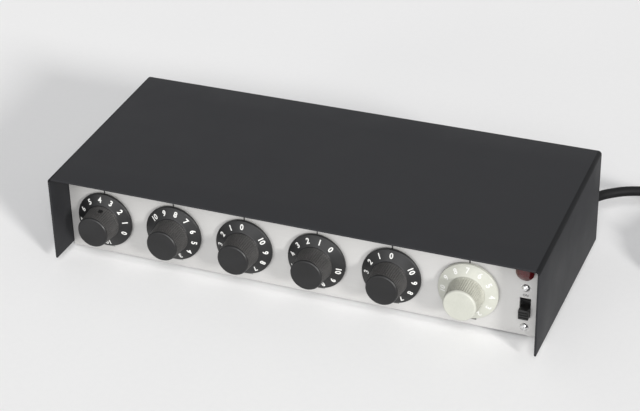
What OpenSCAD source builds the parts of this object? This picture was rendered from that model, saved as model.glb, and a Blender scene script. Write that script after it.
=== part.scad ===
// Small mains-powered mixer: a folded steel hood over a set-back panel with six dials.
// The origin lies on the table under the middle of the cover. The front faces -Y.

/* [Cover] */
// Width of the cover over its two sides
case_w = 295; // [285:1:330]
// Depth of the cover from its front edge to its rear edge
case_d = 130; // [126:1:160]
// Height of the cover's front edge, from its lower edge
front_h = 54; // [54:1:70]
// Height of the cover's rear edge, from its lower edge
rear_h = 60; // [58:1:80]
// Height of the cover's lower edge above the table
case_z = 5; // [4:0.5:15]
// Thickness of the cover's steel sheet
sheet_t = 1.2; // [0.8:0.1:2]
// Outside radius of the cover's two bends
bend_r = 2.2; // [2.1:0.1:5]
// Width of the cover's turned-in lower flanges
flange_w = 14; // [12:1:20]
// Distance of the panel behind the cover's front edge
panel_back = 20; // [19:1:26]
// Distance of the chassis' rear wall inside the cover's rear edge
rear_back = 20; // [10:1:22]
// Gap between the cover and what stands inside it
cover_gap = 0.4; // [0.2:0.1:1]

/* [Panel and chassis] */
// Thickness of the aluminium front panel
panel_t = 2; // [1:0.1:3]
// How far the panel reaches below the cover's lower edge
panel_drop = 1.6; // [0:0.1:2.5]
// Thickness of the chassis' steel sheet
chassis_t = 1.2; // [0.8:0.1:2]

/* [Knobs] */
// Distance of the first knob from the cover's left side
knob_left = 25.5; // [22:0.5:28]
// Distance of the last knob from the cover's right side
knob_right = 44.5; // [40:0.5:50]
// Distance between neighbouring knobs, five steps from the first to the last
knob_pitch = (case_w - knob_left - knob_right) / 5;
// Height of the knobs' axes above the cover's lower edge
knob_z = 21.5; // [20.5:0.5:25]
// Radius of a knob's numbered skirt
skirt_r = 17.5; // [16:0.5:20]
// Thickness of the skirt at its rim
skirt_t = 1.8; // [1:0.1:2.5]
// Gap between the skirt and the panel
skirt_gap = 0.8; // [0.4:0.1:1.5]
// Height above the panel at which the grip rises from the skirt
grip_z = 5; // [4:0.25:7]
// Radius of the grip where it meets the skirt
grip_base_r = 10.7; // [10:0.1:12]
// Radius of the grip at its front
grip_front_r = 9.6; // [8:0.1:10.5]
// Bevel around the grip's front face
grip_bevel = 0.8; // [0.2:0.1:1.5]
// Height of a knob from the panel to its front face
knob_h = 18.5; // [16:0.5:19]
// Thickness of the grip's closed front
grip_face_t = 3; // [2:0.25:4]
// Clearance around the shaft in its knob
knob_fit = 0.03; // [0.02:0.01:0.1]
// Radius of a knob's set screw
set_r = 1.5; // [1:0.1:1.8]
// Depth of the set screw's end below the grip's surface
set_sink = 0.6; // [0.2:0.1:1.5]

/* [Potentiometers] */
// Radius of a shaft
shaft_r = 3; // [2.5:0.05:3.2]
// Depth of the flat ground on a shaft for its set screw
flat_d = 0.6; // [0.3:0.1:1]
// Running clearance around a shaft in its bushing
shaft_fit = 0.05; // [0.02:0.01:0.1]
// Radius of the threaded bushing
bushing_r = 4.75; // [4.4:0.05:5]
// Length of bushing thread left in front of its nut
bushing_end = 0.8; // [0.2:0.1:1]
// Width across the flats of a bushing nut
nut_flats = 12.7; // [11:0.1:14]
// Thickness of a bushing nut
nut_t = 2.2; // [1.5:0.1:2.4]
// Radius of a housing
pot_r = 12; // [11:0.25:13]
// Depth of a housing
pot_d = 10; // [8:0.5:12]
// Wall of a housing
pot_wall = 1.2; // [0.8:0.1:1.6]
// Thickness of a housing's rear cap
pot_cap_t = 1; // [0.5:0.1:1.5]
// Thickness of the wiper disc on the shaft
rotor_t = 2; // [1:0.25:3]

/* [Pilot lamp] */
// Distance of the lamp and the switch from the cover's right side
end_gap = 12.5; // [12:0.5:16]
// Height of the lamp above the cover's lower edge
lens_z = 41; // [40.5:0.5:46]
// Radius of the lens
lens_r = 5.2; // [5:0.1:6]
// How far the lens stands out of the panel
lens_h = 5; // [4:0.25:8]
// Radius of the lens' domed front
lens_dome_r = 8; // [7:0.25:14]
// Radius of the lens' barrel behind the panel
barrel_r = 4; // [3.5:0.1:4.4]
// Wall of the lens
lens_wall = 1; // [0.8:0.1:1.2]
// Length of the barrel behind the chassis wall
barrel_tail = 5; // [4:0.5:8]
// Outside radius of the ring that holds the lens
clip_r = 6.4; // [6:0.1:7]
// Thickness of that ring
clip_t = 1; // [0.6:0.1:1.5]

/* [Switch] */
// Distance between the switch's two screws
switch_pitch = 25.4; // [25:0.2:28]
// Width of the slot for the slider
slot_w = 6.4; // [5:0.2:7]
// Height of the slider's head
slider_h = 6.2; // [5:0.1:7]
// Travel of the slider
slider_travel = 5.4; // [4:0.1:6]
// How far the slider stands out of the panel
slider_out = 4; // [2:0.25:6]
// Clearance around the slider
slide_gap = 0.3; // [0.2:0.05:0.4]
// Width of the switch's frame and base
switch_w = 11; // [10:0.25:12]
// Thickness of the switch's steel frame
frame_t = 0.8; // [0.5:0.1:1.2]
// Depth of the switch's moulded base
switch_d = 8; // [7:0.5:12]
// Thickness of the slider's foot inside the base
slider_foot_t = 2; // [1.5:0.25:3]

/* [Jacks] */
// Distance of the first jack from the cover's left side
jack_left = 27.5; // [26:0.5:30]
// Distance of the last jack from the cover's right side
jack_right = 97.5; // [94:0.5:105]
// Distance between neighbouring jacks, five steps from the first to the last
jack_pitch = (case_w - jack_left - jack_right) / 5;
// Height of the jacks' axes above the cover's lower edge
jack_z = 30; // [28:0.5:36]
// Radius of a jack's bore
jack_bore_r = 3.25; // [3.2:0.05:3.4]
// Radius of a jack's threaded bushing
jack_bush_r = 4.75; // [4.5:0.05:5.2]
// Length of the bushing outside the rear wall
jack_out = 6; // [4:0.25:8]
// Width of a jack's moulded body
jack_w = 16; // [14:0.5:18]
// Depth of a jack's moulded body
jack_d = 24; // [20:0.5:25]
// Thickness of the body behind the bore
jack_end = 3; // [2:0.25:4]

/* [Screws] */
// Radius of the screws' shanks
screw_r = 1.25; // [1:0.05:1.4]
// Radius of the screws' heads
screw_head_r = 2.5; // [2.2:0.1:2.8]
// Height of the screws' heads
screw_head_h = 1.8; // [1:0.1:2]
// Width across the flats of the switch's nuts
small_nut_flats = 5; // [4.5:0.1:5.2]
// Thickness of the switch's nuts
small_nut_t = 2; // [1.5:0.1:2.5]
// Clearance of a thread in its nut and of a bushing in its hole
thread_gap = 0.1; // [0.05:0.01:0.15]

/* [Circuit board] */
// Thickness of the board
board_t = 1.6; // [1:0.1:2]
// Height of the standoffs under the board
standoff_h = 5; // [4:0.5:6]
// Radius of the standoffs
standoff_r = 3; // [2.5:0.1:3.5]
// Distance of the board's front edge behind the pot caps
board_gap = 4; // [3:0.5:5]
// Width of the board's narrow end beside the transformer
board_tongue = 22; // [21:0.5:24]
// Radius of the leads from the pots and the jacks
lead_r = 0.6; // [0.4:0.05:0.8]

/* [Transformer] */
// Width of the laminated core
core_w = 48; // [44:1:52]
// Height of the core
core_h = 40; // [36:1:44]
// Thickness of the core's stack
core_d = 20; // [18:0.5:22]
// Width of the core's outer legs and yokes
core_leg = 8; // [7:0.25:8.5]
// How far the winding stands out in front of the core and behind it
winding_out = 6; // [4:0.25:7]
// Distance of the transformer's middle from the cover's right side
transformer_right = 50.5; // [50:0.5:54]
// Thickness of the transformer's bracket
bracket_t = 1; // [0.8:0.1:1.5]
// Length of the bracket's ears
bracket_ear = 10; // [8:0.5:10]

/* [Feet] */
// Radius of a foot at its top
foot_r = 8; // [7:0.5:10]
// Radius of a foot on the table
foot_base_r = 7; // [6:0.5:9]
// Distance of the feet from the cover's sides
foot_side = 32; // [30:0.5:36]
// Distance of the front feet from the cover's front edge
foot_front = 43; // [41:0.5:46]
// Distance of the rear feet from the cover's rear edge
foot_rear = 33; // [31:0.5:36]

/* [Cord] */
// Radius of the mains cord
cord_r = 3; // [2.5:0.1:3.5]
// Distance of the cord's exit from the cover's right side
cord_side = 13.5; // [13:0.5:16]
// Height of the cord's exit above the cover's lower edge
cord_z = 15; // [14:0.5:20]
// Length of the strain relief outside the rear wall
relief_l = 18; // [16:0.5:24]
// Radius of the coil's innermost turn
coil_in_r = 24.6; // [24:0.2:30]
// Distance between the coil's turns and between its layers
coil_pitch = 6.5; // [6.45:0.05:8]
// Turns of the lower layer, wound inwards
turns_in = 3.5; // [3.5:1:5.5]
// Turns of the upper layer, wound outwards
turns_out = 3.75; // [3.75:1:5.75]
// Straight length between the coil and the plug
plug_lead = 30; // [28:1:40]
// Thickness of the tie round the coil
tie_t = 0.8; // [0.6:0.1:1.5]
// Width of the tie
tie_w = 8; // [5:0.5:10]

/* [Plug] */
// Width of the plug's body
plug_w = 24; // [22:0.5:26]
// Thickness of the plug's body
plug_t = 20; // [19:0.5:20]
// Length of the plug's body
plug_l = 26; // [22:0.5:32]
// Length of the plug's tapered tail
plug_tail = 14; // [10:0.5:20]
// Length of the flat blades
blade_l = 16; // [14:0.5:18]

/* [Hidden] */
$fn = 64;
knob_count = 6;
jack_count = 6;
// Number at the top of each dial at rest, and the angle from one number to the next
dial_at = [3.8, 8.4, 0, 1.4, 0.1, 7];
dial_step = 30;
// Place of the knobs' set screws, as a number on the skirt
set_number = 3.5;

// Heights
base_z = case_z;
floor_z = base_z + sheet_t;
floor_top = floor_z + chassis_t;
rise = (rear_h - front_h) / case_d;
slope = atan(rise);
sheet_up = sheet_t / cos(slope);
knob_up = base_z + knob_z;
lens_up = base_z + lens_z;
jack_up = base_z + jack_z;
cord_up = base_z + cord_z;
board_z = floor_top + standoff_h;
board_top = board_z + board_t;

// Depths, from the front backwards
front_y = -case_d / 2;
panel_y = front_y + panel_back;
wall_y = panel_y + panel_t;
inside_y = wall_y + chassis_t;
cap_y = inside_y + pot_d + pot_cap_t;
board_y = cap_y + board_gap;
rear_y = case_d / 2 - rear_back;
jack_face_y = rear_y - chassis_t - jack_d;
stack_t = panel_t + chassis_t;

// Widths
side_x = case_w / 2;
inner_x = side_x - sheet_t;
chassis_x = inner_x - cover_gap;
end_x = side_x - end_gap;
cord_x = side_x - cord_side;
transformer_x = side_x - transformer_right;

// Height of the cover's top above the table, and of its underside, at a depth
function top_z(y) = base_z + front_h + rise * (y - front_y);
function roof_z(y) = top_z(y) - sheet_up;
function knob_x(k) = -side_x + knob_left + (k - 1) * knob_pitch;
function jack_x(i) = -side_x + jack_left + (i - 1) * jack_pitch;

// Cover: the U is bent first and then cut upright at its front and rear edges
bend_in_r = max(bend_r - sheet_t, 0.3);
cover_screw_x = side_x - flange_w / 2;
cover_screw_y = 26;
screw_clear = 0.3;
screw_tip = 2;
screw_end = 0.5;
cut = 1;

// Knob: heights count from the panel's front face
bushing_out = nut_t + bushing_end;
recess_gap = 0.6;
recess_h = bushing_out + recess_gap;
recess_r = nut_flats / 2 / cos(30) + recess_gap;
bore_end = knob_h - grip_face_t;
set_h = (recess_h + bore_end) / 2;
shaft_end_gap = 0.3;
shaft_front = bore_end - shaft_end_gap;
function grip_r(h) =
    grip_base_r + (grip_front_r - grip_base_r) * (h - grip_z) / (knob_h - grip_bevel - grip_z);
// Angle of a knob's set screw, clockwise from the top
function set_angle(k) = dial_step * (dial_at[k - 1] - set_number);

// Potentiometer
rotor_gap = 0.4;
rotor_r = pot_r - pot_wall - rotor_gap;
rotor_front = -stack_t - pot_wall - rotor_gap;

// Switch
frame_ear = 2.4;
frame_h = switch_pitch + 2 * frame_ear;
frame_gap = 0.3;
// The frame's lower ear and its nut reach into a notch in the chassis' floor
switch_up = floor_z + frame_gap + frame_h / 2;
notch_w = switch_w + 2 * frame_gap;
notch_d = frame_t + small_nut_t + frame_gap;
slider_w = slot_w - 2 * slide_gap;
slot_h = slider_h + slider_travel + 2 * slide_gap;
slider_low = switch_up - slot_h / 2 + slide_gap;
foot_over = 1.5;
foot_in_w = slider_w + 2 * foot_over;
foot_in_h = slider_h + 2 * foot_over;
well_h = foot_in_h + slider_travel + 2 * slide_gap;
base_rim = 1.5;
base_h = well_h + 2 * base_rim;
well_d = slider_foot_t + 2 * slide_gap;

// Board: a wide part behind the pots and jacks, and a tongue in front of the transformer
board_side = 9;
board_rear_gap = 5;
board_left = -chassis_x + board_side;
board_right = transformer_x - core_w / 2 - board_side;
board_rear = rear_y - chassis_t - board_rear_gap;
tongue_over = 18;
tongue_right = transformer_x + tongue_over;
standoff_left = 10;
standoff_edge = 4.5;
standoff_x = [knob_x(1) - standoff_left, knob_x(3) + knob_pitch / 2, knob_x(4) + knob_pitch / 2];
standoff_y = [board_y + standoff_edge, board_rear - standoff_edge];
lead_run = 6.5;
lead_drop = 8;
lead_step = 5;
// Rows of small parts, from the board's front edge
supply_row = 10;
transistor_row = 13;
capacitor_row = 22;
resistor_row = 33;

// Transformer
transformer_rear = 26;
transformer_y = rear_y - transformer_rear;
window_w = (core_w - 4 * core_leg) / 2;
window_h = core_h - 2 * core_leg;
winding_gap = 0.3;
bracket_inset = 3;
bracket_w = core_d - 2 * bracket_inset;

// Feet
foot_x = side_x - foot_side;
foot_y = [front_y + foot_front, case_d / 2 - foot_rear];
foot_well_gap = 1;
foot_well_r = screw_head_r + foot_well_gap;
foot_well_h = 4;

// Strain relief and cord
collar_r = 8;
collar_t = 2.5;
neck_r = 5.5;
lip_r = 6.7;
boot_r = 6;
boot_wall = 1.2;
boot_end_r = cord_r + boot_wall;
exit_y = rear_y + relief_l;
tie_gap = 0.3;
coil_z = tie_t + tie_gap + cord_r;
// Route of the free cord from its exit: steps right and back, and the share of its height still left
cord_route = [
    [0, 0, 1], [0, 5, 1], [2, 16, 1], [7, 26, 1], [15, 34, 1], [25, 40, 1], [36, 44, 0.95],
    [48, 47, 0.8], [60, 49, 0.55], [72, 50, 0.28], [84, 51, 0.08], [96, 51, 0]
];
cord_points = [
    for (p = cord_route) [cord_x + p[0], exit_y + p[1], coil_z + p[2] * (cord_up - coil_z)]
];
cord_sides = 10;
cord_end = cord_points[len(cord_points) - 1];

// Coil: it starts at its rear-most point, winds inwards below and outwards above, clockwise from above
coil_sides = 6;
coil_steps = 24;
coil_start_r = coil_in_r + coil_pitch * turns_in;
coil_end_r = coil_in_r + coil_pitch * turns_out;
coil_x = cord_end[0] + 2 * cord_r;
coil_y = cord_end[1] - coil_start_r;
function coil_climb(t) = t < -0.25 ? 0 : t > 0.25 ? 1 : (1 + sin(360 * t)) / 2;
function coil_point(t) =
    let (r = coil_in_r + coil_pitch * abs(t), a = 90 - 360 * (t + turns_in))
    [coil_x + r * cos(a), coil_y + r * sin(a), coil_z + coil_pitch * coil_climb(t)];
plug_z = coil_z + coil_pitch;
plug_x = coil_x + coil_end_r;
plug_y = coil_y - plug_lead;
coil_points = concat(
    [cord_end],
    [for (i = [0 : round(coil_steps * (turns_in + turns_out))]) coil_point(i / coil_steps - turns_in)],
    [[plug_x, plug_y, plug_z]]
);
// Least gap between turns, measured between ring centres that are at least half a turn apart
coil_gap = min([
    for (i = [0 : len(coil_points) - 1])
        for (j = [i + coil_steps / 2 : 1 : len(coil_points) - 1])
            norm(coil_points[i] - coil_points[j])
]) - 2 * cord_r;
echo(least_gap_in_coil = coil_gap);

// Tie round the coil's left side
tie_slack = 0.8;
tie_in_r = coil_in_r - cord_r - tie_slack;
tie_out_r = coil_end_r + cord_r + tie_slack;
tie_top = plug_z + cord_r + tie_gap;

// Plug
plug_corner = 4;
tail_wall = 1.5;
tail_step = 2;
blade_w = 6.4;
blade_t = 1.5;
blade_pitch = 12.7;
ground_drop = 11.9;
ground_r = 2.4;
ground_l = blade_l + 3;
blade_up = 5;

// Shared shapes

// Turns a child so that its +Z points to the front
module to_front(x, y, z) {
    translate([x, y, z])
        rotate([90, 0, 0])
            children();
}

// Turns a child so that its +Z points to the back
module to_back(x, y, z) {
    translate([x, y, z])
        rotate([-90, 0, 0])
            children();
}

// Box between two corners
module block(low, high) {
    translate(low)
        cube(high - low);
}

// Straight round bar or hole between two heights
module rod(r, from, to) {
    translate([0, 0, from])
        cylinder(r = r, h = to - from);
}

// Six-sided nut with a plain hole, its flats up and down
module nut(flats, hole_r, t) {
    difference() {
        cylinder(r = flats / 2 / cos(30), h = t, $fn = 6);
        rod(hole_r, -cut, t + cut);
    }
}

// Round-headed screw: the head stands on z = 0 and the shank goes down
module screw(shank_l) {
    dome_r = (screw_head_r * screw_head_r + screw_head_h * screw_head_h) / (2 * screw_head_h);
    rod(screw_r, -shank_l, cut / 2);
    intersection() {
        rod(screw_head_r, 0, screw_head_h);
        translate([0, 0, screw_head_h - dome_r])
            sphere(dome_r);
    }
}

// Wire that leaves a rear or front face along Y and then drops to a height
module bent_lead(x, y, z, run, end_z) {
    if (run > 0) {
        to_back(x, y, z)
            rod(lead_r, 0, run);
    } else {
        to_front(x, y, z)
            rod(lead_r, 0, -run);
    }
    translate([x, y + run, z])
        sphere(lead_r);
    translate([x, y + run, 0])
        rod(lead_r, end_z, z);
}

function unit(v) = v / norm(v);

// Direction of a path at one of its points
function along(path, i, first, last) =
    i == 0 ? first
    : i == len(path) - 1 ? last
    : unit(unit(path[i + 1] - path[i]) + unit(path[i] - path[i - 1]));

// Ring of points across a path
function ring(centre, dir, r, sides) =
    let (side = unit(cross(dir, [0, 0, 1])), up = cross(side, dir))
    [for (s = [0 : sides - 1]) centre + r * (cos(360 * s / sides) * side + sin(360 * s / sides) * up)];

// Solid tube along a path, closed at both ends, with triangular faces
module tube(path, r, sides, first, last) {
    rings = len(path);
    points = [
        for (i = [0 : rings - 1])
            each ring(path[i], along(path, i, first, last), r, sides)
    ];
    walls = [
        for (i = [0 : rings - 2])
            for (s = [0 : sides - 1])
                let (a = i * sides + s, b = i * sides + (s + 1) % sides)
                each [[a, b, a + sides], [b, b + sides, a + sides]]
    ];
    start = [for (s = [1 : sides - 2]) [0, s + 1, s]];
    far = (rings - 1) * sides;
    finish = [for (s = [1 : sides - 2]) [far, far + s, far + s + 1]];
    polyhedron(points, concat(walls, start, finish));
}

// Cover

// Outline across the cover: a long upright slab with its two upper corners rounded, top at y = 0
module hood_outline(half_w, r) {
    deep = 2 * rear_h;
    translate([-half_w, -deep])
        square([2 * half_w, deep - r]);
    translate([-half_w + r, -deep])
        square([2 * (half_w - r), deep]);
    for (s = [-1, 1])
        translate([s * (half_w - r), -r])
            circle(r);
}

// That outline drawn out along the slope of the top, past both ends of the cover
module hood_form(inset, r) {
    over = case_d / 4;
    translate([0, front_y, base_z + front_h])
        rotate([slope, 0, 0])
            translate([0, case_d + over, -inset])
                rotate([90, 0, 0])
                    linear_extrude(case_d + 2 * over)
                        hood_outline(side_x - inset, r);
}

module cover() {
    color("#3a3b3f")
        difference() {
            union() {
                difference() {
                    intersection() {
                        hood_form(0, bend_r);
                        block([-case_w, front_y, base_z], [case_w, -front_y, base_z + 2 * rear_h]);
                    }
                    hood_form(sheet_t, bend_in_r);
                }
                for (s = [0, 1])
                    mirror([s, 0, 0])
                        block(
                            [side_x - flange_w, wall_y + cover_gap, base_z],
                            [side_x - sheet_t / 2, rear_y, floor_z]
                        );
            }
            for (x = [-cover_screw_x, cover_screw_x])
                for (y = [-cover_screw_y, cover_screw_y])
                    translate([x, y, 0])
                        rod(screw_r + screw_clear, base_z - cut, floor_z + cut);
        }
}

module cover_screws() {
    color("silver")
        for (x = [-cover_screw_x, cover_screw_x])
            for (y = [-cover_screw_y, cover_screw_y])
                translate([x, y, base_z])
                    rotate([180, 0, 0])
                        screw(floor_top + screw_tip - base_z);
}

// Front panel

// Holes that the panel and the chassis' front wall share, drawn from y to y + t
module front_holes(y, t) {
    for (k = [1 : knob_count])
        to_back(knob_x(k), y, knob_up)
            rod(bushing_r + thread_gap, -cut, t + cut);
    to_back(end_x, y, lens_up)
        rod(barrel_r + thread_gap, -cut, t + cut);
    block(
        [end_x - slot_w / 2, y - cut, switch_up - slot_h / 2],
        [end_x + slot_w / 2, y + t + cut, switch_up + slot_h / 2]
    );
    for (s = [-1, 1])
        to_back(end_x, y, switch_up + s * switch_pitch / 2)
            rod(screw_r + thread_gap, -cut, t + cut);
}

module front_panel() {
    color("#c8c6c3")
        difference() {
            block(
                [-inner_x + cover_gap, panel_y, base_z - panel_drop],
                [inner_x - cover_gap, wall_y, roof_z(panel_y) - cover_gap]
            );
            front_holes(panel_y, panel_t);
        }
}

// Chassis: floor, front wall behind the panel, and rear wall

module chassis() {
    color("#b4b8ba")
        difference() {
            union() {
                block([-chassis_x, wall_y, floor_z], [chassis_x, rear_y, floor_top]);
                block([-chassis_x, wall_y, floor_z], [chassis_x, inside_y, roof_z(wall_y) - cover_gap]);
                block(
                    [-chassis_x, rear_y - chassis_t, floor_z],
                    [chassis_x, rear_y, roof_z(rear_y - chassis_t) - cover_gap]
                );
            }
            front_holes(wall_y, chassis_t);
            block(
                [end_x - notch_w / 2, inside_y, floor_z - cut],
                [end_x + notch_w / 2, inside_y + notch_d, floor_top + cut]
            );
            for (i = [1 : jack_count])
                to_front(jack_x(i), rear_y, jack_up)
                    rod(jack_bush_r + thread_gap, -cut, chassis_t + cut);
            to_front(cord_x, rear_y, cord_up)
                rod(neck_r + thread_gap, -cut, chassis_t + cut);
            for (x = [-cover_screw_x, cover_screw_x])
                for (y = [-cover_screw_y, cover_screw_y])
                    floor_hole(x, y);
            for (x = [-foot_x, foot_x])
                for (y = foot_y)
                    floor_hole(x, y);
            for (s = [-1, 1])
                floor_hole(transformer_x + s * (core_w / 2 + bracket_t + bracket_ear / 2), transformer_y);
        }
}

module floor_hole(x, y) {
    translate([x, y, 0])
        rod(screw_r + thread_gap, floor_z - cut, floor_top + cut);
}

// Feet: tapered rubber, each with a well for its screw

module feet() {
    color("#222222")
        for (x = [-foot_x, foot_x])
            for (y = foot_y)
                translate([x, y, 0])
                    difference() {
                        cylinder(r1 = foot_base_r, r2 = foot_r, h = floor_z);
                        rod(foot_well_r, -cut, foot_well_h);
                        rod(screw_r + thread_gap, -cut, floor_z + cut);
                    }
}

module foot_screws() {
    color("silver")
        for (x = [-foot_x, foot_x])
            for (y = foot_y)
                translate([x, y, foot_well_h])
                    rotate([180, 0, 0])
                        screw(floor_top + screw_tip - foot_well_h);
}

// Knobs: a skirt that rises as a low cone to a tapered grip, hollow over the bushing nut

module knob(k) {
    outline = [
        [recess_r, skirt_gap], [skirt_r, skirt_gap], [skirt_r, skirt_gap + skirt_t], [grip_base_r, grip_z],
        [grip_front_r, knob_h - grip_bevel], [grip_front_r - grip_bevel, knob_h], [0, knob_h],
        [0, bore_end], [shaft_r + knob_fit, bore_end], [shaft_r + knob_fit, recess_h], [recess_r, recess_h]
    ];
    to_front(knob_x(k), panel_y, knob_up)
        difference() {
            rotate_extrude()
                polygon(outline);
            rotate([0, 0, -set_angle(k)])
                translate([0, 0, set_h])
                    rotate([-90, 0, 0])
                        rod(set_r + thread_gap, 0, grip_base_r + cut);
        }
}

module shaft(k) {
    color("#c9c4b4")
        to_front(knob_x(k), panel_y, knob_up)
            rotate([0, 0, -set_angle(k)])
                difference() {
                    union() {
                        rod(shaft_r, -stack_t - pot_d + rotor_gap, shaft_front);
                        rod(rotor_r, rotor_front - rotor_t, rotor_front);
                    }
                    block(
                        [-shaft_r - cut, shaft_r - flat_d, recess_h],
                        [shaft_r + cut, shaft_r + cut, shaft_front + cut]
                    );
                }
}

module set_screw(k) {
    color("#404040")
        to_front(knob_x(k), panel_y, knob_up)
            rotate([0, 0, -set_angle(k)])
                translate([0, 0, set_h])
                    rotate([-90, 0, 0])
                        rod(set_r, shaft_r - flat_d, grip_r(set_h) - set_sink);
}

module black_knob(k) {
    color("#1b1b1d")
        knob(k);
}

module ivory_knob(k) {
    color("#e4e3da")
        knob(k);
}

// Potentiometers behind the front wall

module pot_housings() {
    color("#a8adb0")
        for (k = [1 : knob_count])
            to_front(knob_x(k), panel_y, knob_up)
                difference() {
                    union() {
                        rod(pot_r, -stack_t - pot_d, -stack_t);
                        rod(bushing_r, -stack_t - pot_wall, bushing_out);
                    }
                    rod(pot_r - pot_wall, -stack_t - pot_d - cut, -stack_t - pot_wall);
                    rod(shaft_r + shaft_fit, -stack_t - pot_d - cut, bushing_out + cut);
                }
}

module pot_caps() {
    color("#8f9598")
        for (k = [1 : knob_count])
            to_back(knob_x(k), cap_y - pot_cap_t, knob_up)
                rod(pot_r, 0, pot_cap_t);
}

module pot_nuts() {
    color("#c0c4c6")
        for (k = [1 : knob_count])
            to_front(knob_x(k), panel_y, knob_up)
                nut(nut_flats, bushing_r + thread_gap, nut_t);
}

module pot_leads() {
    color("#b5763a")
        for (k = [1 : knob_count])
            for (s = [-1, 0, 1])
                bent_lead(knob_x(k) + s * lead_step, cap_y, knob_up - lead_drop, lead_run, board_top);
}

// Pilot lamp: a hollow lens pressed through the panel, held by a ring, with the bulb behind it

module pilot_lens() {
    color("#7a1f1c")
        to_front(end_x, panel_y, lens_up)
            difference() {
                union() {
                    intersection() {
                        rod(lens_r, 0, lens_h);
                        translate([0, 0, lens_h - lens_dome_r])
                            sphere(lens_dome_r);
                    }
                    rod(barrel_r, -stack_t - barrel_tail, cut);
                }
                rod(barrel_r - lens_wall, -stack_t - barrel_tail - cut, lens_wall);
            }
}

module pilot_ring() {
    color("#303030")
        to_back(end_x, inside_y, lens_up)
            difference() {
                rod(clip_r, 0, clip_t);
                rod(barrel_r + thread_gap, -cut, clip_t + cut);
            }
}

module pilot_bulb() {
    bulb_gap = 0.3;
    bulb_r = barrel_r - lens_wall - bulb_gap;
    base_t = 3;
    tip = -barrel_tail / 2;
    color("#e8dcc0")
        to_front(end_x, inside_y, lens_up) {
            rod(barrel_r, -barrel_tail - base_t, -barrel_tail);
            rod(bulb_r, -barrel_tail - cut, tip);
            translate([0, 0, tip])
                sphere(bulb_r);
        }
}

// Slide switch on the inner face of the front wall

module switch_frame() {
    color("#b9bdbf")
        difference() {
            block(
                [end_x - switch_w / 2, inside_y, switch_up - frame_h / 2],
                [end_x + switch_w / 2, inside_y + frame_t, switch_up + frame_h / 2]
            );
            block(
                [end_x - slot_w / 2, inside_y - cut, switch_up - slot_h / 2],
                [end_x + slot_w / 2, inside_y + frame_t + cut, switch_up + slot_h / 2]
            );
            for (s = [-1, 1])
                to_back(end_x, inside_y, switch_up + s * switch_pitch / 2)
                    rod(screw_r + thread_gap, -cut, frame_t + cut);
        }
}

module switch_base() {
    back = inside_y + frame_t;
    color("#5a3d28")
        difference() {
            block(
                [end_x - switch_w / 2, back, switch_up - base_h / 2],
                [end_x + switch_w / 2, back + switch_d, switch_up + base_h / 2]
            );
            block(
                [end_x - foot_in_w / 2 - slide_gap, back - cut, switch_up - well_h / 2],
                [end_x + foot_in_w / 2 + slide_gap, back + well_d, switch_up + well_h / 2]
            );
        }
}

module switch_slider() {
    back = inside_y + frame_t + slide_gap;
    color("#151515") {
        block(
            [end_x - slider_w / 2, panel_y - slider_out, slider_low],
            [end_x + slider_w / 2, back + cut, slider_low + slider_h]
        );
        block(
            [end_x - foot_in_w / 2, back, slider_low - foot_over],
            [end_x + foot_in_w / 2, back + slider_foot_t, slider_low + slider_h + foot_over]
        );
    }
}

module switch_screws() {
    color("silver")
        for (s = [-1, 1])
            to_front(end_x, panel_y, switch_up + s * switch_pitch / 2)
                screw(stack_t + frame_t + small_nut_t + screw_end);
}

module switch_nuts() {
    color("#c0c4c6")
        for (s = [-1, 1])
            to_back(end_x, inside_y + frame_t, switch_up + s * switch_pitch / 2)
                nut(small_nut_flats, screw_r + thread_gap, small_nut_t);
}

// Phone jacks on the rear wall

module jack_bodies() {
    color("#1e1e20")
        for (i = [1 : jack_count])
            to_back(jack_x(i), rear_y, jack_up)
                difference() {
                    union() {
                        block(
                            [-jack_w / 2, -jack_w / 2, -chassis_t - jack_d],
                            [jack_w / 2, jack_w / 2, -chassis_t]
                        );
                        rod(jack_bush_r, -chassis_t - cut, jack_out);
                    }
                    rod(jack_bore_r, -chassis_t - jack_d + jack_end, jack_out + cut);
                }
}

module jack_nuts() {
    color("#c0c4c6")
        for (i = [1 : jack_count])
            to_back(jack_x(i), rear_y, jack_up)
                nut(nut_flats, jack_bush_r + thread_gap, nut_t);
}

module jack_leads() {
    color("#b5763a")
        for (i = [1 : jack_count])
            for (s = [-1, 1])
                bent_lead(jack_x(i) + s * lead_step, jack_face_y, jack_up, -lead_run, board_top);
}

// Circuit board on standoffs, with its parts

module circuit_board() {
    color("#8a6a3a")
        difference() {
            union() {
                block([board_left, board_y, board_z], [board_right, board_rear, board_top]);
                block(
                    [board_right - cut, board_y, board_z],
                    [tongue_right, board_y + board_tongue, board_top]
                );
            }
            at_standoffs()
                rod(screw_r + thread_gap, board_z - cut, board_top + cut);
        }
}

module at_standoffs() {
    for (x = standoff_x)
        for (y = standoff_y)
            translate([x, y, 0])
                children();
}

module standoffs() {
    color("#c9a94e")
        at_standoffs()
            difference() {
                rod(standoff_r, floor_top, board_z);
                rod(screw_r + thread_gap, floor_top - cut, board_z + cut);
            }
}

module board_screws() {
    color("silver")
        at_standoffs()
            translate([0, 0, board_top])
                screw(board_t + standoff_h / 2);
}

// One row of parts on the board for each jack
module on_channels(dx, dy) {
    for (i = [1 : jack_count])
        translate([jack_x(i) + dx, board_y + dy, board_top])
            children();
}

module capacitors() {
    can_r = 4;
    can_h = 11;
    apart = 14;
    color("#2f4f8f")
        for (s = [-1, 1])
            on_channels(s * apart / 2, capacitor_row)
                rod(can_r, 0, can_h);
}

module supply_capacitors() {
    can_r = 6;
    can_h = 20;
    edge = can_r + 2;
    color("#2f4f8f")
        for (s = [0, 1])
            translate([board_right + edge + 2 * edge * s, board_y + supply_row, board_top])
                rod(can_r, 0, can_h);
}

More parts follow.
